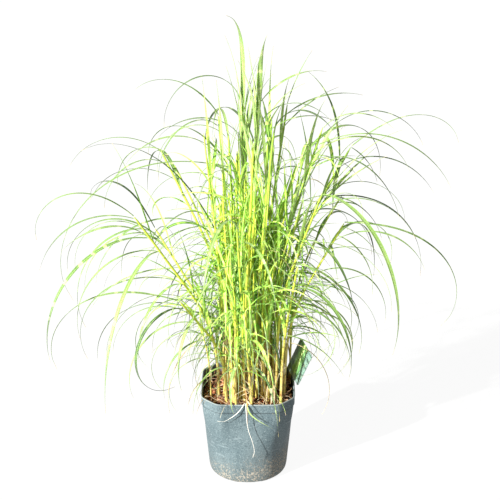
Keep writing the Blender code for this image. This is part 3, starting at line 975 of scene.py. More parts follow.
def pot_section(settings):
    """(offset from the outer wall, height) from the foot, over the lip, down to the floor."""
    top, wall, floor, lip = settings.height, settings.wall, settings.floor, settings.lip
    band = top - settings.band
    section = [(-0.0085, 0.0), (-0.0062, 0.0003), (-0.0036, 0.0018), (-0.0016, 0.0036), (-0.0006, 0.0060)]
    section += [(0.0, 0.012 + step * (band - 0.0135) / 16.0) for step in range(17)]
    section += [(-0.0002, band - 0.0005), (0.0012, band + 0.0002), (0.0020, band + 0.0010)]
    section += [(0.0017, band + 0.006), (0.0012, band + 0.012), (0.0007, top - lip)]
    for step in range(9):
        turn = math.radians(-80.0 + 260.0 * step / 8.0)
        section.append((0.0001 + 0.0016 * math.cos(turn), top - 0.0014 + 0.0014 * math.sin(turn)))
    section += [(-wall + 0.0002, top - lip), (0.0012 - wall, band + 0.0010), (-wall, band - 0.0020)]
    section += [(-wall, band - 0.004 - step * (band - 0.016) / 12.0) for step in range(13)]
    section += [(-wall - 0.0006, floor + 0.0040), (-wall - 0.0025, floor + 0.0012), (-wall - 0.0060, floor)]
    return section


class GRASS_OT_pot(bpy.types.Operator):
    """Build the moulded nursery pot with its band, rolled lip and drainage slots"""

    bl_idname = "grass.pot"
    bl_label = "Nursery pot"

    def execute(self, context):
        settings = context.scene.grass_pot
        section = [(round_radius(height, settings) + off, height) for off, height in pot_section(settings)]
        pot = drawn_body("nursery_pot", section, settings.sides)
        eight_sided(pot, settings)
        reach = settings.base_diameter / 2.0 - SLOT_INSET
        for quarter in range(4):
            turn = math.radians(SLOT_HEADING + 90.0 * quarter)
            nothing_selected()
            place = (reach * math.cos(turn), reach * math.sin(turn), -0.001)
            bpy.ops.mesh.primitive_cube_add(
                size=1.0, location=place, rotation=(0.0, 0.0, turn), scale=SLOT_SIZE
            )
            cutter = context.active_object
            bpy.ops.object.transform_apply(location=True, rotation=True, scale=True)
            changed(cutter, "BEVEL", width=0.002, segments=3)
            only_selected(pot)
            changed(pot, "BOOLEAN", operation="DIFFERENCE", object=cutter)
            bpy.data.objects.remove(cutter, do_unlink=True)
        finished(pot, pot_plastic(settings), "pot_plastic", "pot", smooth=38.0)
        return {"FINISHED"}


def mix_phases():
    """The waves of the lumpy surface, the same as on the solid that fills the pot."""
    rng = random.Random(SEEDS["mix"])
    waves = []
    for _ in range(6):
        turn = rng.uniform(0.0, CIRCLE)
        wave = rng.uniform(130.0, 330.0)
        waves.append((wave * math.cos(turn), wave * math.sin(turn), rng.uniform(0.0, 6.28)))
    return waves


MIX_WAVES = mix_phases()


def mix_height(x, y, settings, fine=True):
    """Height of the mix at a place: a low mound with lumps, and crumbs on top."""
    reach = min(1.0, math.hypot(x, y) / MOUND_RADIUS)
    lumps = sum(
        math.sin(fx * x + fy * y + phase) / (1.0 + 0.35 * k) for k, (fx, fy, phase) in enumerate(MIX_WAVES)
    )
    height = settings.level + MOUND_RISE * (1.0 - reach**2) + settings.lump * lumps / 2.6
    if fine:
        height += CRUMB_HEIGHT * noise.fractal(Vector((x, y, 0.3)) * CRUMB_SCALE, 0.6, 2.2, 4)
        height -= EDGE_SINK * max(0.0, reach - 0.86) / 0.14
    return height


class GRASS_OT_mix(bpy.types.Operator):
    """Build the body of bark and coir that fills the pot"""

    bl_idname = "grass.mix"
    bl_label = "Potting mix"

    def execute(self, context):
        mix, pot = context.scene.grass_mix, context.scene.grass_pot
        edge = pot.wall + 0.0008
        ledge = pot.height - pot.band - 0.004
        section = [(round_radius(0.0, pot) - edge - 0.007, pot.floor + 0.0008)]
        for height in (0.010, 0.030, 0.060, 0.090, 0.120, 0.150, ledge):
            section.append((round_radius(height, pot) - edge - 0.0008, height))
        outer = round_radius(ledge, pot) - edge
        section += [(outer * (1.0 - ring / 46.0), ledge + 0.001 + ring * 0.0001) for ring in range(1, 45)]
        body = drawn_body("mix_body", section, 132)
        eight_sided(body, pot)
        for vertex in body.data.vertices:
            if vertex.co.z > ledge + 0.0005:
                vertex.co.z = mix_height(vertex.co.x, vertex.co.y, mix)
        finished(body, bark("bark_mix", mix, on_chips=False), "bark_mix", "potting_mix", smooth=75.0)
        return {"FINISHED"}


def room_on_mix(turn, pot):
    """From the middle of the mix to the wall in one direction."""
    return pot_radius(turn, pot.height - pot.band, pot) - pot.wall


def free_place(rng, pot, share=0.94):
    """A place on the mix inside the wall."""
    turn = rng.uniform(0.0, CIRCLE)
    reach = math.sqrt(rng.random()) * room_on_mix(turn, pot) * share
    return reach * math.cos(turn), reach * math.sin(turn)


def chip_shapes(count):
    """A few angular chips, each a small block with its edges cut and its corners moved."""
    shapes = []
    for number in range(count):
        nothing_selected()
        bpy.ops.mesh.primitive_cube_add(size=2.0)
        all_in_edit_mode()
        bpy.ops.mesh.bevel(offset=0.35, segments=1)
        bpy.ops.object.mode_set(mode="OBJECT")
        rng = random.Random(SEEDS["chip shapes"] + number)
        corners, faces = taken_apart(bpy.context.active_object)
        corners += np.array([[rng.uniform(-0.24, 0.24) for _ in range(3)] for _ in corners])
        x, y, z = corners[[corner for face in faces for corner in face]].T
        shapes.append((corners, faces, np.column_stack((x * 0.2 + 0.5, y * 0.2 + z * 0.13 + 0.5))))
    return shapes


class GRASS_OT_chips(bpy.types.Operator):
    """Scatter bark chips over the mix"""

    bl_idname = "grass.chips"
    bl_label = "Bark chips"

    def execute(self, context):
        mix, pot = context.scene.grass_mix, context.scene.grass_pot
        rng = random.Random(SEEDS["chips"])
        shapes = chip_shapes(6)
        parts = []
        for number in range(mix.chips):
            corners, faces, spots = shapes[number % len(shapes)]
            long = rng.uniform(0.0010, 0.0034) * (1.9 if rng.random() < 0.14 else 1.0)
            size = np.array((long, long * rng.uniform(0.35, 0.75), long * rng.uniform(0.16, 0.42)))
            x, y = free_place(rng, pot)
            tilt = Matrix.Rotation(rng.uniform(0.0, 6.28), 3, "Z")
            tilt = tilt @ Matrix.Rotation(rng.gauss(0.0, 0.5), 3, "X")
            tilt = tilt @ Matrix.Rotation(rng.gauss(0.0, 0.45), 3, "Y")
            height = mix_height(x, y, mix) + size[2] * rng.uniform(0.0, 1.1)
            laid = (corners * size) @ np.array(tilt).T + np.array((x, y, height))
            tint = np.broadcast_to((0.0, rng.random() ** 1.3, 0.0), laid.shape)
            parts.append((laid, faces, spots, laid, tint))
        chips = joined("bark_chips", parts)
        finished(chips, bark("bark_chips", mix, on_chips=True), "bark_mix", smooth=30.0)
        return {"FINISHED"}


def surface_line(rng, mix, pot, start, heading, length, lift, wander, steps=9):
    """A wandering line that lies on the mix and arches off it here and there."""
    x, y = start
    arch = rng.uniform(0.0, lift)
    points = []
    for step in range(steps + 1):
        turn = math.radians(heading)
        limit = room_on_mix(math.atan2(y, x), pot) * 0.97
        reach = math.hypot(x, y)
        if reach > limit:
            x, y = x * limit / reach, y * limit / reach
        bow = math.sin(math.pi * step / steps) * arch
        points.append((x, y, mix_height(x, y, mix, fine=False) + 0.0008 + bow))
        x += math.cos(turn) * length / steps
        y += math.sin(turn) * length / steps
        heading += rng.gauss(0.0, wander)
    return Line(points, np.array((0.3, 0.9, 0.2)), 24)


def strands(context, rng, count, rod, share, lengths, lift, wander, sizes, loss):
    """Thin strands that lie on the mix. loss is how much of their size is gone at the tip."""
    mix, pot = context.scene.grass_mix, context.scene.grass_pot
    laid = []
    for number in range(count):
        start, heading = free_place(rng, pot, share), rng.uniform(0, 360)
        line = surface_line(rng, mix, pot, start, heading, rng.uniform(*lengths), lift, wander)
        laid.append(laid_tube(rod, line, tapered(rng.uniform(*sizes), 1.0, loss), rng.random(), number))
    return laid


class GRASS_OT_roots(bpy.types.Operator):
    """Lay coir fibres and pale roots over the mix"""

    bl_idname = "grass.roots"
    bl_label = "Roots and fibres"

    def execute(self, context):
        mix = context.scene.grass_mix
        rng = random.Random(SEEDS["roots"])
        rod = tube_pattern(10, 4)
        fibres = strands(
            context, rng, mix.fibres, rod, 0.94, (0.012, 0.045), 0.006, 24.0, (0.00016, 0.00034), 0.0
        )
        coir = dry_straw("coir", (0.62, 0.34, 0.17), (0.16, 0.055, 0.022))
        finished(joined("coir_fibres", fibres), coir, "bark_mix")

        rod = tube_pattern(16, 6)
        roots = strands(
            context, rng, mix.roots, rod, 0.9, (0.035, 0.095), 0.014, 17.0, (0.00035, 0.00080), 0.6
        )
        pale = dry_straw("root_pale", (0.86, 0.70, 0.48), (0.50, 0.27, 0.15))
        finished(joined("pale_roots", roots), pale, "bark_mix")
        return {"FINISHED"}


# ---------------------------------------------------------------- culms
def bump_at(value, middle, wide):
    """1 at the middle, falling off evenly on both sides."""
    return np.exp(-(((value - middle) / wide) ** 2))


def culm_form(foot, top, length, gap, first):
    """Radius of a culm with its sheaths, and where its nodes are, by share of its length."""

    def part_of_turn(share):
        return (share * length + first) / gap % 1.0

    def radius(share):
        plain = foot + (top - foot) * share
        part = part_of_turn(share)
        sheath = 0.10 * smooth_step(0.0, 0.9, part) * (1.0 - smooth_step(0.955, 0.99, part))
        knot = 0.13 * bump_at(part, 0.02, 0.030)
        foot_swell = 0.28 * bump_at(share * length, 0.0, 0.030)
        tip = 1.0 - 0.6 * smooth_step(0.97, 1.0, share)
        return plain * (1.0 + sheath + knot + foot_swell) * tip

    def ring(share):
        part = part_of_turn(share)
        return bump_at(part, 0.015, 0.035) + 0.5 * bump_at(part, 0.97, 0.012)

    return radius, ring


def laid_culm(rod, line, foot, top, gap, rng, tones, number):
    """One culm along a line, with a node after every gap."""
    radius, ring = culm_form(foot, top, line.length, gap, rng.uniform(0.0, gap))
    return laid_tube(rod, line, radius, rng.uniform(*tones), number, ring)


class GRASS_OT_culms(bpy.types.Operator):
    """Build the large culms along their solids"""

    bl_idname = "grass.culms"
    bl_label = "Large culms"

    def execute(self, context):
        settings = context.scene.grass_culm
        rod = tube_pattern(settings.rings, 12)
        material = culm_green(settings)
        rng = random.Random(SEEDS["culms"])
        for number, (node, (line, foot, top)) in enumerate(CULM_LINES.items()):
            gap = settings.node_gap * rng.uniform(0.8, 1.25)
            part = laid_culm(rod, line, foot * 0.80, top * 0.85, gap, rng, (-0.6, 0.6), number)
            finished(joined("culm_" + node[-2:], [part]), material, "cane_green", node)
        return {"FINISHED"}


# Young culms beside each large one: its number, how many, and how widely they spread at the top (metres).
COMPANIONS = (
    (1, 9, 0.020), (2, 11, 0.024), (3, 10, 0.022), (4, 5, 0.022), (5, 2, 0.016), (6, 1, 0.012),
    (7, 1, 0.012), (8, 10, 0.024), (9, 9, 0.024), (10, 6, 0.026), (11, 13, 0.030), (12, 5, 0.022),
    (13, 3, 0.016), (14, 6, 0.020), (15, 1, 0.014), (16, 4, 0.024), (17, 10, 0.028), (18, 4, 0.024),
)


def kept_inside(points):
    """Points near the rim brought inside the wall."""
    pot = bpy.context.scene.grass_pot
    kept = []
    for x, y, z in points:
        room = pot_radius(math.atan2(y, x), pot.height, pot) - pot.wall - 0.006
        room += 0.6 * max(0.0, z - pot.height)
        shrink = min(1.0, room / max(1e-6, math.hypot(x, y)))
        kept.append((x * shrink, y * shrink, z))
    return np.array(kept)


def read_young_lines():
    """Middle lines of the young culms: each follows its large neighbour and leans away from it."""
    rng = random.Random(SEEDS["young lines"])
    for culm, count, spread in COMPANIONS:
        line, foot, _ = CULM_LINES[f"cane_{culm:02d}"]
        for _ in range(count):
            reach = rng.uniform(0.42, 0.97)
            turn = rng.uniform(0.0, CIRCLE)
            away = np.array((math.cos(turn), math.sin(turn), 0.0))
            bow = np.array((-away[1], away[0], 0.0)) * rng.uniform(-0.010, 0.010)
            share = np.linspace(0.012, 1.0, 14)[:, None] * reach
            start = foot * 2.0 + rng.uniform(0.001, 0.020)
            points = line.read(line.points, share[:, 0])
            points = points + away * (start + spread * rng.uniform(0.3, 1.0) * share**1.4)
            points = kept_inside(points + bow * np.sin(share * 5.0 + turn))
            size = rng.uniform(0.0012, 0.0026)
            young = Line(points, np.array((0.0, 1.0, 0.0)), 60)
            if clear_of_label(young):
                YOUNG_LINES.append((young, size))


class GRASS_OT_young_culms(bpy.types.Operator):
    """Add the young culms that stand beside the large ones"""

    bl_idname = "grass.young_culms"
    bl_label = "Young culms"

    def execute(self, context):
        settings = context.scene.grass_culm
        rod = tube_pattern(46, 8)
        rng = random.Random(SEEDS["young culms"])
        parts = []
        for number, (line, size) in enumerate(YOUNG_LINES, FIRST["young"]):
            gap = settings.node_gap * rng.uniform(0.6, 1.0)
            parts.append(laid_culm(rod, line, size * 1.25, size * 0.8, gap, rng, (-0.8, 0.5), number))
        finished(joined("young_culms", parts), culm_green(settings), "cane_green")
        return {"FINISHED"}


# ---------------------------------------------------------------- blades
# Topmost blades: direction across and tone. Their high tones are painted sunlight on the top of the clump.
TOP_BLADES = {"leaf_01_1": ((0.74, -0.67, 0.0), 0.74), "leaf_02_1": ((1.0, -0.10, 0.0), 0.72)}
# Further long blades: culm, share of its length, heading, rise, fall, how late it bends,
# length and width (mm), and the dryness of the few dry ones.
SIDE_BLADES = (
    (6, 0.86, 205, 60, -42, 0.8, 200, 6), (6, 0.99, 190, 20, -75, 1.1, 230, 5),
    (6, 0.70, 186, 4, -58, 1.0, 190, 6), (6, 0.62, 182, 16, -118, 1.3, 330, 5),
    (15, 0.96, 176, 12, -100, 1.2, 260, 5), (15, 0.75, 205, 28, -112, 1.0, 250, 5),
    (15, 0.55, 215, 34, -104, 0.9, 190, 5), (15, 0.62, 192, -20, -100, 0.8, 200, 4, 0.8),
    (15, 0.40, 195, -5, -112, 0.7, 130, 4, 0.3), (10, 0.93, 20, 46, 18, 1.0, 135, 5),
    (8, 1.00, 350, 52, -40, 0.9, 150, 5), (9, 1.00, 330, -20, -75, 1.0, 90, 5),
    (9, 0.96, 250, 30, -100, 0.6, 150, 8), (13, 0.98, 20, 22, -104, 1.0, 180, 6),
    (13, 0.85, 8, 12, -32, 1.0, 115, 5), (13, 0.98, 345, -8, -70, 0.8, 120, 4),
    (13, 0.93, 340, -10, -95, 0.8, 150, 6), (12, 0.50, 352, 8, -165, 1.0, 270, 5),
    (14, 0.72, 330, 10, -95, 1.2, 200, 5), (14, 0.50, 340, 6, -60, 0.8, 150, 5),
    (14, 0.45, 345, 10, -120, 0.8, 210, 3, 0.9), (2, 1.00, 150, 74, 80, 1.0, 85, 4),
    (1, 0.85, 215, 89, 64, 2.0, 232, 7), (1, 0.80, 320, 89, 58, 2.5, 225, 6),
    (1, 0.70, 250, 88, 70, 1.5, 240, 6), (2, 0.86, 235, 88, 70, 2.0, 200, 6),
    (2, 0.80, 310, 88, 66, 2.0, 215, 6), (2, 0.62, 290, 87, 60, 2.0, 230, 6),
    (11, 0.80, 300, 84, 52, 2.0, 210, 6), (3, 0.82, 250, 86, 58, 2.0, 200, 6),
    (8, 0.80, 300, 80, 40, 2.0, 210, 9), (9, 0.78, 310, 70, 25, 2.0, 200, 9),
    (10, 0.84, 280, 82, 50, 2.0, 190, 6), (16, 0.90, 60, 50, -90, 1.0, 280, 6),
    (16, 0.75, 105, 30, -100, 1.0, 300, 7), (18, 0.92, 75, 44, -95, 1.1, 300, 7),
    (18, 0.72, 20, 34, -88, 1.0, 260, 6), (17, 0.90, 292, 46, -96, 1.0, 230, 6),
    (17, 0.78, 240, 36, -98, 1.0, 250, 6), (7, 0.80, 130, 40, -96, 1.0, 280, 7),
    (4, 0.97, 100, 58, -88, 1.0, 240, 6), (5, 1.00, 178, 38, -62, 1.0, 220, 4),
    (5, 0.94, 200, 46, -88, 0.8, 190, 5), (4, 0.98, 186, 60, -95, 0.9, 210, 5),
    (5, 0.88, 165, 30, -70, 1.0, 230, 4), (6, 0.93, 168, 34, -96, 0.9, 210, 4),
    (6, 0.80, 200, 22, -104, 0.9, 280, 5), (7, 0.95, 180, 24, -92, 0.9, 240, 5),
    (5, 0.70, 190, 26, -84, 1.0, 280, 6), (5, 0.55, 215, 40, -92, 0.8, 170, 5),
    (4, 0.80, 170, 48, -78, 0.9, 230, 5), (4, 0.62, 205, 40, -70, 0.9, 190, 4),
    (3, 0.86, 195, 58, -60, 1.0, 230, 5), (3, 0.60, 188, 44, -88, 0.9, 200, 5),
    (15, 0.85, 184, 40, -88, 1.0, 210, 4), (13, 0.90, 355, 36, -72, 1.0, 220, 5),
    (13, 0.70, 10, 30, -98, 0.9, 230, 5), (12, 0.92, 350, 48, -66, 0.9, 230, 5),
    (12, 0.75, 338, 30, -92, 1.0, 260, 5), (9, 0.92, 350, 40, -58, 0.9, 220, 5),
    (9, 0.80, 2, 44, -88, 1.0, 230, 5), (8, 0.90, 5, 50, -70, 0.9, 240, 5),
    (8, 0.72, 345, 40, -80, 1.0, 220, 5), (2, 0.86, 8, 60, -40, 0.9, 200, 4),
    (1, 0.88, 190, 60, -50, 0.9, 190, 4), (14, 0.85, 350, 30, -84, 1.0, 220, 5),
    (10, 0.78, 0, 52, -60, 0.9, 200, 4), (8, 0.62, 320, 78, 45, 2.0, 220, 8),
    (8, 0.50, 250, 80, 55, 2.0, 210, 7), (9, 0.60, 330, 68, 38, 2.0, 200, 8),
    (9, 0.48, 240, 72, 48, 2.0, 190, 7), (12, 0.70, 300, 76, 40, 2.0, 190, 7),
    (12, 0.55, 350, 20, -150, 1.0, 230, 4), (13, 0.55, 345, 15, -130, 1.0, 220, 5),
    (13, 0.45, 5, 30, -140, 1.0, 240, 5), (14, 0.80, 0, 40, -125, 1.0, 230, 4),
    (12, 0.45, 10, 35, -120, 0.9, 240, 4), (9, 0.45, 355, 35, -125, 0.9, 250, 4),
    (14, 0.62, 20, 10, -160, 1.0, 170, 4), (6, 0.50, 200, 30, -135, 1.0, 240, 5),
    (15, 0.60, 180, 30, -140, 1.0, 230, 4), (15, 0.35, 195, 45, -125, 0.9, 200, 4),
    (3, 0.38, 200, 55, -120, 0.9, 230, 4), (1, 0.91, 20, 85, 62, 1.4, 150, 7),
    (1, 0.84, 350, 84, 50, 1.4, 170, 7), (1, 0.86, 170, 86, 70, 1.2, 160, 6),
    (2, 0.90, 195, 86, 60, 1.4, 150, 7), (2, 0.82, 10, 84, 20, 1.4, 180, 7),
    (2, 0.85, 240, 85, 66, 1.4, 150, 6), (1, 0.78, 280, 83, 10, 1.6, 170, 7),
    (2, 0.77, 90, 84, 40, 1.5, 190, 7), (8, 0.66, 340, 74, 52, 1.2, 230, 9),
    (8, 0.74, 20, 72, 44, 1.2, 210, 9), (8, 0.58, 300, 76, 60, 1.2, 200, 8),
    (9, 0.66, 15, 58, 34, 1.2, 220, 9), (9, 0.72, 350, 55, 28, 1.2, 200, 9),
    (9, 0.55, 40, 60, 40, 1.2, 210, 8), (12, 0.72, 320, 66, 30, 1.2, 180, 8),
    (1, 0.74, 0, 86, 74, 1.2, 230, 7), (1, 0.66, 300, 87, 72, 1.2, 250, 7),
    (1, 0.80, 60, 84, 60, 1.2, 190, 6), (2, 0.72, 190, 87, 74, 1.2, 230, 7),
    (2, 0.66, 230, 86, 66, 1.2, 240, 7), (2, 0.78, 330, 82, 40, 1.4, 190, 6),
    (10, 0.74, 220, 84, 58, 1.2, 220, 7), (11, 0.78, 120, 86, 66, 1.2, 220, 7),
    (11, 0.70, 200, 87, 60, 1.4, 220, 6), (3, 0.74, 20, 85, 60, 1.4, 220, 6),
)


# A side blade that ends at least this steep (degrees) stands upright and gets a lighter tone: painted light,
# for blades that face the light.
UPRIGHT_FALL = 20


def culm_side(line, size, share, heading):
    """Where a blade leaves a culm: just outside its skin."""
    return line.place(share)[0] + heading_vector(heading) * (size * 0.9)


def drawn(rng, span):
    """A value drawn from a span, or the plain number itself."""
    return rng.uniform(*span) if isinstance(span, tuple) else span


def leaving(rng, line, size, share, *spans):
    """Root and heading of a blade on a culm, then its rise, fall, lateness, length and drift."""
    heading = rng.uniform(0.0, 360.0)
    root = culm_side(line, size, drawn(rng, share), heading)
    return root, heading, *(drawn(rng, span) for span in spans)


def culms_large_and_young(young):
    """Lines of the large culms with the size of their tips, then the young ones."""
    return [(line, size) for line, _, size in CULM_LINES.values()] + young


def sheathed(node, line):
    """The line of a topmost blade, begun a little lower so that its foot clasps the tip of its culm."""
    culm = CULM_LINES["cane_" + node[5:7]][0]
    below = culm.read(culm.points, np.array((0.962, 0.974, 0.986)))
    return Line(np.vstack((below, line.points[6::6], line.points[-1:])), np.array(TOP_BLADES[node][0]))


class GRASS_OT_blades(bpy.types.Operator):
    """Build the large blades along their solids"""

    bl_idname = "grass.blades"
    bl_label = "Large blades"

    def execute(self, context):
        settings = context.scene.grass_blade
        flat = strip_pattern(settings.steps, 8)
        material = blade_green(settings)
        rng = random.Random(SEEDS["blades"])
        for number, (node, (line, half)) in enumerate(BLADE_LINES.items()):
            tone, foot = rng.uniform(0.15, 0.68), 0.52
            if node in TOP_BLADES:
                line, tone, foot = sheathed(node, line), TOP_BLADES[node][1], 0.45
            part = laid_blade(flat, line, half, rng, number, tone, 0.0, 0.75, foot=foot)
            finished(joined("blade" + node[4:], [part]), material, "leaf_green", node)
        return {"FINISHED"}


def side_rows():
    """The rows of the side blades, with no dryness where none is given."""
    return [row if len(row) == 9 else (*row, 0.0) for row in SIDE_BLADES]


class GRASS_OT_side_blades(bpy.types.Operator):
    """Add the further long blades that arch out of the clump"""

    bl_idname = "grass.side_blades"
    bl_label = "Side blades"

    def execute(self, context):
        flat = strip_pattern(30, 6)
        rng = random.Random(SEEDS["side"])
        parts = []
        for number, row in enumerate(side_rows(), FIRST["side"]):
            culm, share, heading, *form, length, width, dryness = row
            line, _, size = CULM_LINES[f"cane_{culm:02d}"]
            root = culm_side(line, size, share, heading)
            bent = bent_line(root, heading, *form, length / 1000.0, rng.uniform(-14.0, 14.0))
            tone = rng.uniform(0.15, 1.0)
            # Painted light: upright side blades get a lighter tone.
            if form[1] >= UPRIGHT_FALL:
                tone = 0.75 + 0.35 * tone
            parts.append(laid_blade(flat, bent, width / 2000.0, rng, number, tone, dryness, 1.1))
        finished(joined("side_blades", parts), blade_green(context.scene.grass_blade), "leaf_green")
        return {"FINISHED"}


def inner_blade(rng, line, size, share, flat, number):
    """A blade inside the clump: some stand close to their culm, the others arch over."""
    heading = rng.uniform(0.0, 360.0)
    root = culm_side(line, size, share, heading)
    direction = line.place(share)[1]
    steep = math.degrees(math.atan2(direction[2], direction.dot(heading_vector(heading))))
    if rng.random() < 0.42:
        rise = min(88.0, steep - rng.uniform(1.0, 10.0))
        spans = ((15.0, 72.0), (0.10, 0.25), (1.5, 3.0))
    else:
        rise = min(84.0, steep - rng.uniform(8.0, 36.0))
        spans = ((-120.0, -5.0), (0.085, 0.230), (0.7, 1.8))
    fall, length, late = (drawn(rng, span) for span in spans)
    bent = bent_line(root, heading, rise, fall, late, length, rng.uniform(-35.0, 35.0), 26)
    half = rng.uniform(0.0015, 0.0036)
    return bent, laid_blade(flat, bent, half, rng, number, rng.uniform(0.0, 1.2), 0.0, 1.5)


class GRASS_OT_inner_blades(bpy.types.Operator):
    """Add the many blades inside the clump"""

    bl_idname = "grass.inner_blades"
    bl_label = "Inner blades"

    def execute(self, context):
        settings = context.scene.grass_blade
        flat = strip_pattern(20, 4)
        rng = random.Random(SEEDS["inner"])
        lines = culms_large_and_young(YOUNG_LINES)
        parts = []
        for number in range(settings.inner_count):
            line, size = lines[number % len(lines)]
            share = rng.triangular(0.10, 0.96, 0.62)
            bent, part = inner_blade(rng, line, size, share, flat, number + FIRST["inner"])
            if clear_of_label(bent):
                parts.append(part)
        half = len(parts) // 2
        # Painted light: the inner blades are brightened where the clump's own shade falls on them.
        painted_light_green = blade_green(settings, (1.50, 1.72, 0.92))
        finished(joined("inner_blades_a", parts[:half]), painted_light_green, "leaf_green")
        finished(joined("inner_blades_b", parts[half:]), painted_light_green, "leaf_green")
        return {"FINISHED"}


class GRASS_OT_skirt_blades(bpy.types.Operator):
    """Add the drooping blades low on the clump and the fine dark ones between them"""

    bl_idname = "grass.skirt_blades"
    bl_label = "Skirt blades"

    def execute(self, context):
        settings = context.scene.grass_blade
        flat = strip_pattern(24, 4)
        thin = strip_pattern(22, 2)
        rng = random.Random(SEEDS["skirt"])
        lines = culms_large_and_young(YOUNG_LINES[::2])
        skirt = []
        for number in range(settings.skirt_count):
            spans = ((0.22, 0.52), (34, 66), (-132, -72), (0.7, 1.3), (0.140, 0.275), (-30, 30))
            bent = short_enough(*leaving(rng, *lines[number % len(lines)], *spans))
            half, tone = rng.uniform(0.0016, 0.0031), rng.uniform(0.0, 1.1)
            part = laid_blade(flat, bent, half, rng, number + FIRST["skirt"], tone, 0.0, 1.4)
            if clear_of_label(bent):
                skirt.append(part)
        finished(joined("skirt_blades", skirt), blade_green(settings), "leaf_green")
        fine = []
        for number in range(settings.fine_count):
            spans = ((0.12, 0.88), (10, 66), (-150, -40), (0.6, 1.4), (0.100, 0.230), (-60, 60))
            bent = short_enough(*leaving(rng, *lines[rng.randrange(len(lines))], *spans))
            half, tone = rng.uniform(0.0009, 0.0017), rng.uniform(-0.3, 0.7)
            dryness = 0.8 if rng.random() < 0.08 else 0.0
            part = laid_blade(thin, bent, half, rng, number + FIRST["fine"], tone, dryness, 2.0, 0.0003)
            if clear_of_label(bent):
                fine.append(part)
        finished(joined("fine_blades", fine), blade_green(settings), "leaf_green")
        return {"FINISHED"}


def scrap(rng, pattern, line, half, curls, thickness, most_twist, number):
    """A dead strip. Half its width and its curls at the foot and at the tip may be spans to draw from."""
    half_width, curl = blade_form(*(drawn(rng, span) for span in (half, *curls)))
    twist = blade_twist(rng, most_twist)
    return laid_strip(pattern, line, half_width, thickness, curl, twist, rng.random(), 0.0, number)


SHEATHS, STUBS, SHREDS = 110, 9, 60
STUBS_PLACE = (0.040, -0.052)


class GRASS_OT_dry_parts(bpy.types.Operator):
    """Add dead sheaths round the feet of the culms, cut straw stubs and dry shreds"""

    bl_idname = "grass.dry_parts"
    bl_label = "Dry parts"

    def execute(self, context):
        rng = random.Random(SEEDS["dry"])
        mix = context.scene.grass_mix
        flat = strip_pattern(14, 6)
        straw = dry_straw("straw", (0.84, 0.74, 0.46), (0.46, 0.27, 0.11))
        lines = [(line, foot) for line, foot, _ in CULM_LINES.values()]
        lines += [(line, size * 1.3) for line, size in YOUNG_LINES]
        sheaths = []
        for number in range(SHEATHS):
            line, size = lines[number % len(lines)]
            spans = ((0.03, 0.22), (84, 92), (20, 80), (1.5, 4.0), (0.025, 0.075), (-25, 25))
            bent = bent_line(*leaving(rng, line, size * 0.55, *spans), 16)
            curls = (1.9, (0.9, 1.6))
            sheaths.append(scrap(rng, flat, bent, (0.0022, 0.0042), curls, 0.0004, 0.5, number))
        finished(joined("dry_sheaths", sheaths), straw, "leaf_green")

        rod = tube_pattern(12, 10)
        stubs = []
        for number in range(STUBS):
            x = STUBS_PLACE[0] + rng.uniform(-0.012, 0.014)
            y = STUBS_PLACE[1] + rng.uniform(-0.012, 0.014)
            root = np.array((x, y, mix_height(x, y, mix) - 0.004))
            rise = rng.uniform(76.0, 92.0)
            bent = bent_line(root, rng.uniform(30.0, 150.0), rise, rise - 8.0, 1.0, rng.uniform(0.030, 0.058))
            size = rng.uniform(0.0018, 0.0034)
            stubs.append(laid_tube(rod, bent, tapered(size, 1.15, 0.3), rng.random(), number))
        finished(joined("straw_stubs", stubs), straw, "leaf_green")

        shreds = []
        thin = strip_pattern(12, 2)
        for number in range(SHREDS):
            spans = ((0.05, 0.35), (-20, 70), (-120, -40), 0.8, (0.030, 0.090), (-70, 70))
            bent = bent_line(*leaving(rng, *lines[rng.randrange(len(lines))], *spans), 16)
            shreds.append(scrap(rng, thin, bent, (0.0007, 0.0018), (0.8, 0.6), 0.0003, 2.5, number))
        finished(joined("dry_shreds", shreds), straw, "leaf_green")
        return {"FINISHED"}


# Strands that hang over the front of the rim: sideways, outwards from the wall and height (mm).
HANGING_ROOT = (
    (-3, -13, 184), (-4, -1, 198), (-4, 7, 193), (-3, 11, 178), (-2, 12, 160), (2, 13, 138), (8, 14, 119),
    (12, 14, 102), (13, 14, 88), (10, 14, 77),
)
HANGING_STRAW = (
    (-4, -13, 186), (-7, -1, 198), (-12, 5, 192), (-22, 8, 180), (-37, 9, 168), (-50, 10, 161),
    (-62, 11, 161),
)
HANGING_BLADE = (
    (-1, -13, 186), (-3, -1, 199), (-1, 6, 192), (4, 9, 180), (15, 11, 169), (33, 13, 157), (50, 14, 146),
)
DROPPED_TIP = ((-33, -16, 262), (-35, -9, 240), (-35, -1, 215), (-34, 5, 199), (-32, 8, 188), (-28, 9, 179))


def before_wall(points, pot):
    """Points given from the front wall as places in the frame."""
    places = []
    for x, out, z in points:
        x, out, z = x / 1000.0, out / 1000.0, z / 1000.0
        low, high = math.pi, CIRCLE
        for _ in range(30):
            middle = (low + high) / 2.0
            reach = pot_radius(middle, min(z, pot.height), pot) * math.cos(middle)
            low, high = (middle, high) if reach < x else (low, middle)
        places.append((x, pot_radius(low, min(z, pot.height), pot) * math.sin(low) - out, z))
    return Line(places, np.array((1.0, 0.2, 0.1)), 60)


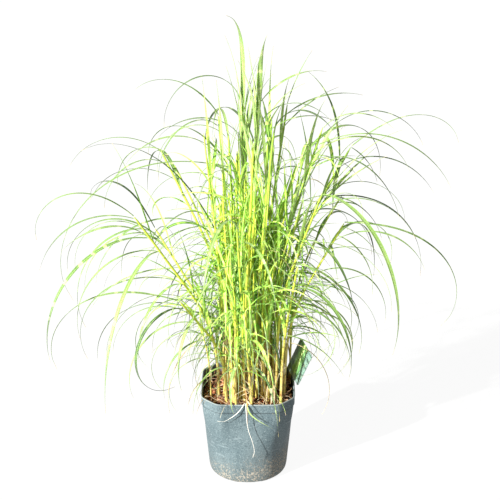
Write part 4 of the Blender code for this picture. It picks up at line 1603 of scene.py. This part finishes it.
class GRASS_OT_hanging(bpy.types.Operator):
    """Hang a root, a straw and two blades over the front of the rim"""

    bl_idname = "grass.hanging"
    bl_label = "Hanging strands"

    def execute(self, context):
        pot = context.scene.grass_pot
        rng = random.Random(SEEDS["hanging"])
        rod = tube_pattern(40, 8)
        root = laid_tube(rod, before_wall(HANGING_ROOT, pot), tapered(0.0007, 1.1, 0.45), 0.9, 1)
        white = dry_straw("white_root", (0.92, 0.88, 0.80), (0.72, 0.62, 0.50))
        finished(joined("hanging_root", [root]), white, "leaf_green")
        flat = strip_pattern(30, 6)
        straw = laid_blade(flat, before_wall(HANGING_STRAW, pot), 0.0010, rng, 2, 0.8, 0.0, 0.6)
        white = dry_straw("white_straw", (0.90, 0.88, 0.80), (0.70, 0.64, 0.50))
        finished(joined("hanging_straw", [straw]), white, "leaf_green")
        blades = [
            laid_blade(flat, before_wall(HANGING_BLADE, pot), 0.0013, rng, 3, 0.95, 0.0, 0.5),
            laid_blade(flat, before_wall(DROPPED_TIP, pot), 0.0030, rng, 4, 0.85, 0.0, 0.3),
        ]
        finished(joined("hanging_blades", blades), blade_green(context.scene.grass_blade), "leaf_green")
        return {"FINISHED"}


# ---------------------------------------------------------------- label
CARD_CORNER = 0.006
# The spike: where the card's shoulders end, its shank, its point, and the point's width by the shank's.
SPIKE_TOP = 0.018
SHANK_LENGTH = 0.034
POINT_LENGTH = 0.012
POINT_SHARE = 0.3


class GRASS_OT_label(bpy.types.Operator):
    """Build the green plant label, a card with rounded corners on a pointed spike"""

    bl_idname = "grass.label"
    bl_label = "Plant label"

    def execute(self, context):
        settings = context.scene.grass_label
        across = Vector(settings.across).normalized()
        facing = across.cross(Vector(settings.up)).normalized()
        up = facing.cross(across).normalized()
        height, shoulder = settings.height, settings.shoulder
        nothing_selected()
        bpy.ops.mesh.primitive_plane_add(size=1.0, location=(0.0, 0.0, 0.0))
        card = context.active_object
        card.scale = (settings.width, height - shoulder, 1.0)
        card.location = (0.0, (height + shoulder) / 2.0, 0.0)
        bpy.ops.object.transform_apply(location=True, rotation=False, scale=True)
        all_in_edit_mode()
        bpy.ops.mesh.select_mode(type="VERT")
        bpy.ops.mesh.bevel(offset=CARD_CORNER, segments=5, affect="VERTICES")
        bpy.ops.mesh.select_all(action="DESELECT")
        shape = bmesh.from_edit_mesh(card.data)
        for edge in shape.edges:
            edge.select = all(abs(end.co.y - shoulder) < 1e-5 for end in edge.verts)
        bmesh.update_edit_mesh(card.data)
        narrow = settings.spike / 2.0 / (settings.width / 2.0 - CARD_CORNER)
        shoulders = (SPIKE_TOP, SPIKE_TOP - shoulder, narrow)
        for level, down, share in (shoulders, (0.0, -SHANK_LENGTH, 1.0), (0.0, -POINT_LENGTH, POINT_SHARE)):
            drawn_out((0.0, down, 0.0))
            bpy.ops.transform.resize(value=(share, 1.0, 1.0), center_override=(0.0, level, 0.0))
        bpy.ops.object.mode_set(mode="OBJECT")
        changed(card, "SOLIDIFY", thickness=settings.thickness, offset=0.0)
        changed(card, "BEVEL", width=0.0003, segments=2)
        layer = card.data.attributes.new("strip", "FLOAT_VECTOR", "POINT")
        for vertex, mark in zip(card.data.vertices, layer.data):
            u, v, w = mark.vector = vertex.co
            vertex.co = Vector(settings.place) + across * u + up * v + facing * w
        card.name = "label_card"
        finished(card, label_card(settings), "label_card", "plant_label", smooth=35.0)
        return {"FINISHED"}


# ---------------------------------------------------------------- stage
FLOOR_RADIUS = 14.0
# Both lights aim at the middle of the clump.
AIM = (0.0, 0.0, 0.45)
KEY_PLACE = (-2.2, -1.9, 1.8)
KEY_SPREAD = math.radians(1.2)
KEY_COLOUR = (1.0, 0.985, 0.95)
FILL_PLACE = (-1.7, -2.1, 1.5)
FILL_WIDTH = 1.2
FILL_COLOUR = (0.98, 1.0, 0.97)
FILM_WIDTH = 36.0
FARTHEST_SEEN = 60.0


def in_scene(name, data, place=(0.0, 0.0, 0.0), aim=None):
    """Put a light or a camera into the scene, turned to a point if one is given."""
    item = bpy.data.objects.new(name, data)
    item.location = place
    if aim is not None:
        item.rotation_euler = (Vector(aim) - Vector(place)).to_track_quat("-Z", "Y").to_euler()
    bpy.context.scene.collection.objects.link(item)
    return item


def white_surround(strength):
    """A white world that lights with its strength and looks plain white."""
    world = bpy.data.worlds.new("white_surround")
    world.use_nodes = True
    nodes, links = world.node_tree.nodes, world.node_tree.links
    light, backdrop = nodes["Background"], nodes.new("ShaderNodeBackground")
    for background in (light, backdrop):
        give(background.inputs["Color"], WHITE)
    give(light.inputs["Strength"], strength)
    mix = nodes.new("ShaderNodeMixShader")
    links.new(nodes.new("ShaderNodeLightPath").outputs["Is Camera Ray"], mix.inputs[0])
    links.new(light.outputs[0], mix.inputs[1])
    links.new(backdrop.outputs[0], mix.inputs[2])
    links.new(mix.outputs[0], nodes["World Output"].inputs[0])
    return world


def white_floor(settings):
    """Off white paper that glows a little, so that it stays pale under the pot."""
    new = Finish("floor_white")
    paper = new.mix(new.noise(new.place()[0], 40.0, 3.0), (0.04, 0.04, 0.04), (0.06, 0.06, 0.06))
    seen = Value(new.tree.nodes.new("ShaderNodeLightPath").outputs["Is Camera Ray"])
    glow = seen.step(0.0, 1.0, settings.floor_bounce, settings.floor_glow)
    shown = {"Base Color": paper, "Roughness": 0.9, "Emission Color": WHITE, "Emission Strength": glow}
    for name, value in shown.items():
        give(new.shader.inputs[name], value)
    return new.material


class GRASS_OT_stage(bpy.types.Operator):
    """Add the pale floor, the soft lights and the camera"""

    bl_idname = "grass.stage"
    bl_label = "Stage"

    def execute(self, context):
        settings = context.scene.grass_stage
        nothing_selected()
        bpy.ops.mesh.primitive_circle_add(vertices=96, radius=FLOOR_RADIUS, fill_type="NGON")
        floor = context.active_object
        floor.name = "floor"
        floor.data.materials.append(white_floor(settings))
        context.scene.world = white_surround(settings.sky)

        key = bpy.data.lights.new("key", "SUN")
        key.energy = settings.key_power
        key.angle = KEY_SPREAD
        key.color = KEY_COLOUR
        in_scene("key", key, KEY_PLACE, AIM)
        fill = bpy.data.lights.new("fill", "AREA")
        fill.shape = "DISK"
        fill.size = FILL_WIDTH
        fill.energy = settings.fill_power
        fill.color = FILL_COLOUR
        in_scene("fill", fill, FILL_PLACE, AIM)

        view = bpy.data.cameras.new("camera")
        view.lens = settings.lens
        view.sensor_width = FILM_WIDTH
        view.clip_end = FARTHEST_SEEN
        place = (settings.camera_aside, -settings.camera_distance, settings.camera_height)
        camera = in_scene("camera", view, place)
        camera.rotation_euler = (math.pi / 2.0 - settings.camera_pitch, 0.0, 0.0)
        context.scene.camera = camera
        context.scene.view_settings.view_transform = "Standard"
        return {"FINISHED"}


class GRASS_PT_clump(bpy.types.Panel):
    """The clump's pieces and their sizes"""

    bl_idname = "GRASS_PT_clump"
    bl_label = "Grass clump"
    bl_space_type = "VIEW_3D"
    bl_region_type = "UI"
    bl_category = "Grass clump"

    def draw(self, context):
        for operator in OPERATORS:
            self.layout.operator(operator.bl_idname)
        for name, group in SETTINGS.items():
            box = self.layout.box()
            for prop in group.__annotations__:
                box.prop(getattr(context.scene, name), prop)


OPERATORS = (
    GRASS_OT_pot,
    GRASS_OT_mix,
    GRASS_OT_chips,
    GRASS_OT_roots,
    GRASS_OT_culms,
    GRASS_OT_young_culms,
    GRASS_OT_blades,
    GRASS_OT_side_blades,
    GRASS_OT_inner_blades,
    GRASS_OT_skirt_blades,
    GRASS_OT_dry_parts,
    GRASS_OT_hanging,
    GRASS_OT_label,
    GRASS_OT_stage,
)


def register():
    """Register the settings, the operators and the panel."""
    for name, group in SETTINGS.items():
        bpy.utils.register_class(group)
        setattr(bpy.types.Scene, name, PointerProperty(type=group))
    for group in (*OPERATORS, GRASS_PT_clump):
        bpy.utils.register_class(group)


def unregister():
    """Take the settings, the operators and the panel away again."""
    for group in (*OPERATORS, GRASS_PT_clump):
        bpy.utils.unregister_class(group)
    for name, group in SETTINGS.items():
        delattr(bpy.types.Scene, name)
        bpy.utils.unregister_class(group)


def main():
    """Build every piece."""
    register()
    read_lines()
    read_young_lines()
    bpy.ops.grass.pot()
    bpy.ops.grass.mix()
    bpy.ops.grass.chips()
    bpy.ops.grass.roots()
    bpy.ops.grass.culms()
    bpy.ops.grass.young_culms()
    bpy.ops.grass.blades()
    bpy.ops.grass.side_blades()
    bpy.ops.grass.inner_blades()
    bpy.ops.grass.skirt_blades()
    bpy.ops.grass.dry_parts()
    bpy.ops.grass.hanging()
    bpy.ops.grass.label()
    bpy.ops.grass.stage()


if __name__ == "__main__":
    main()
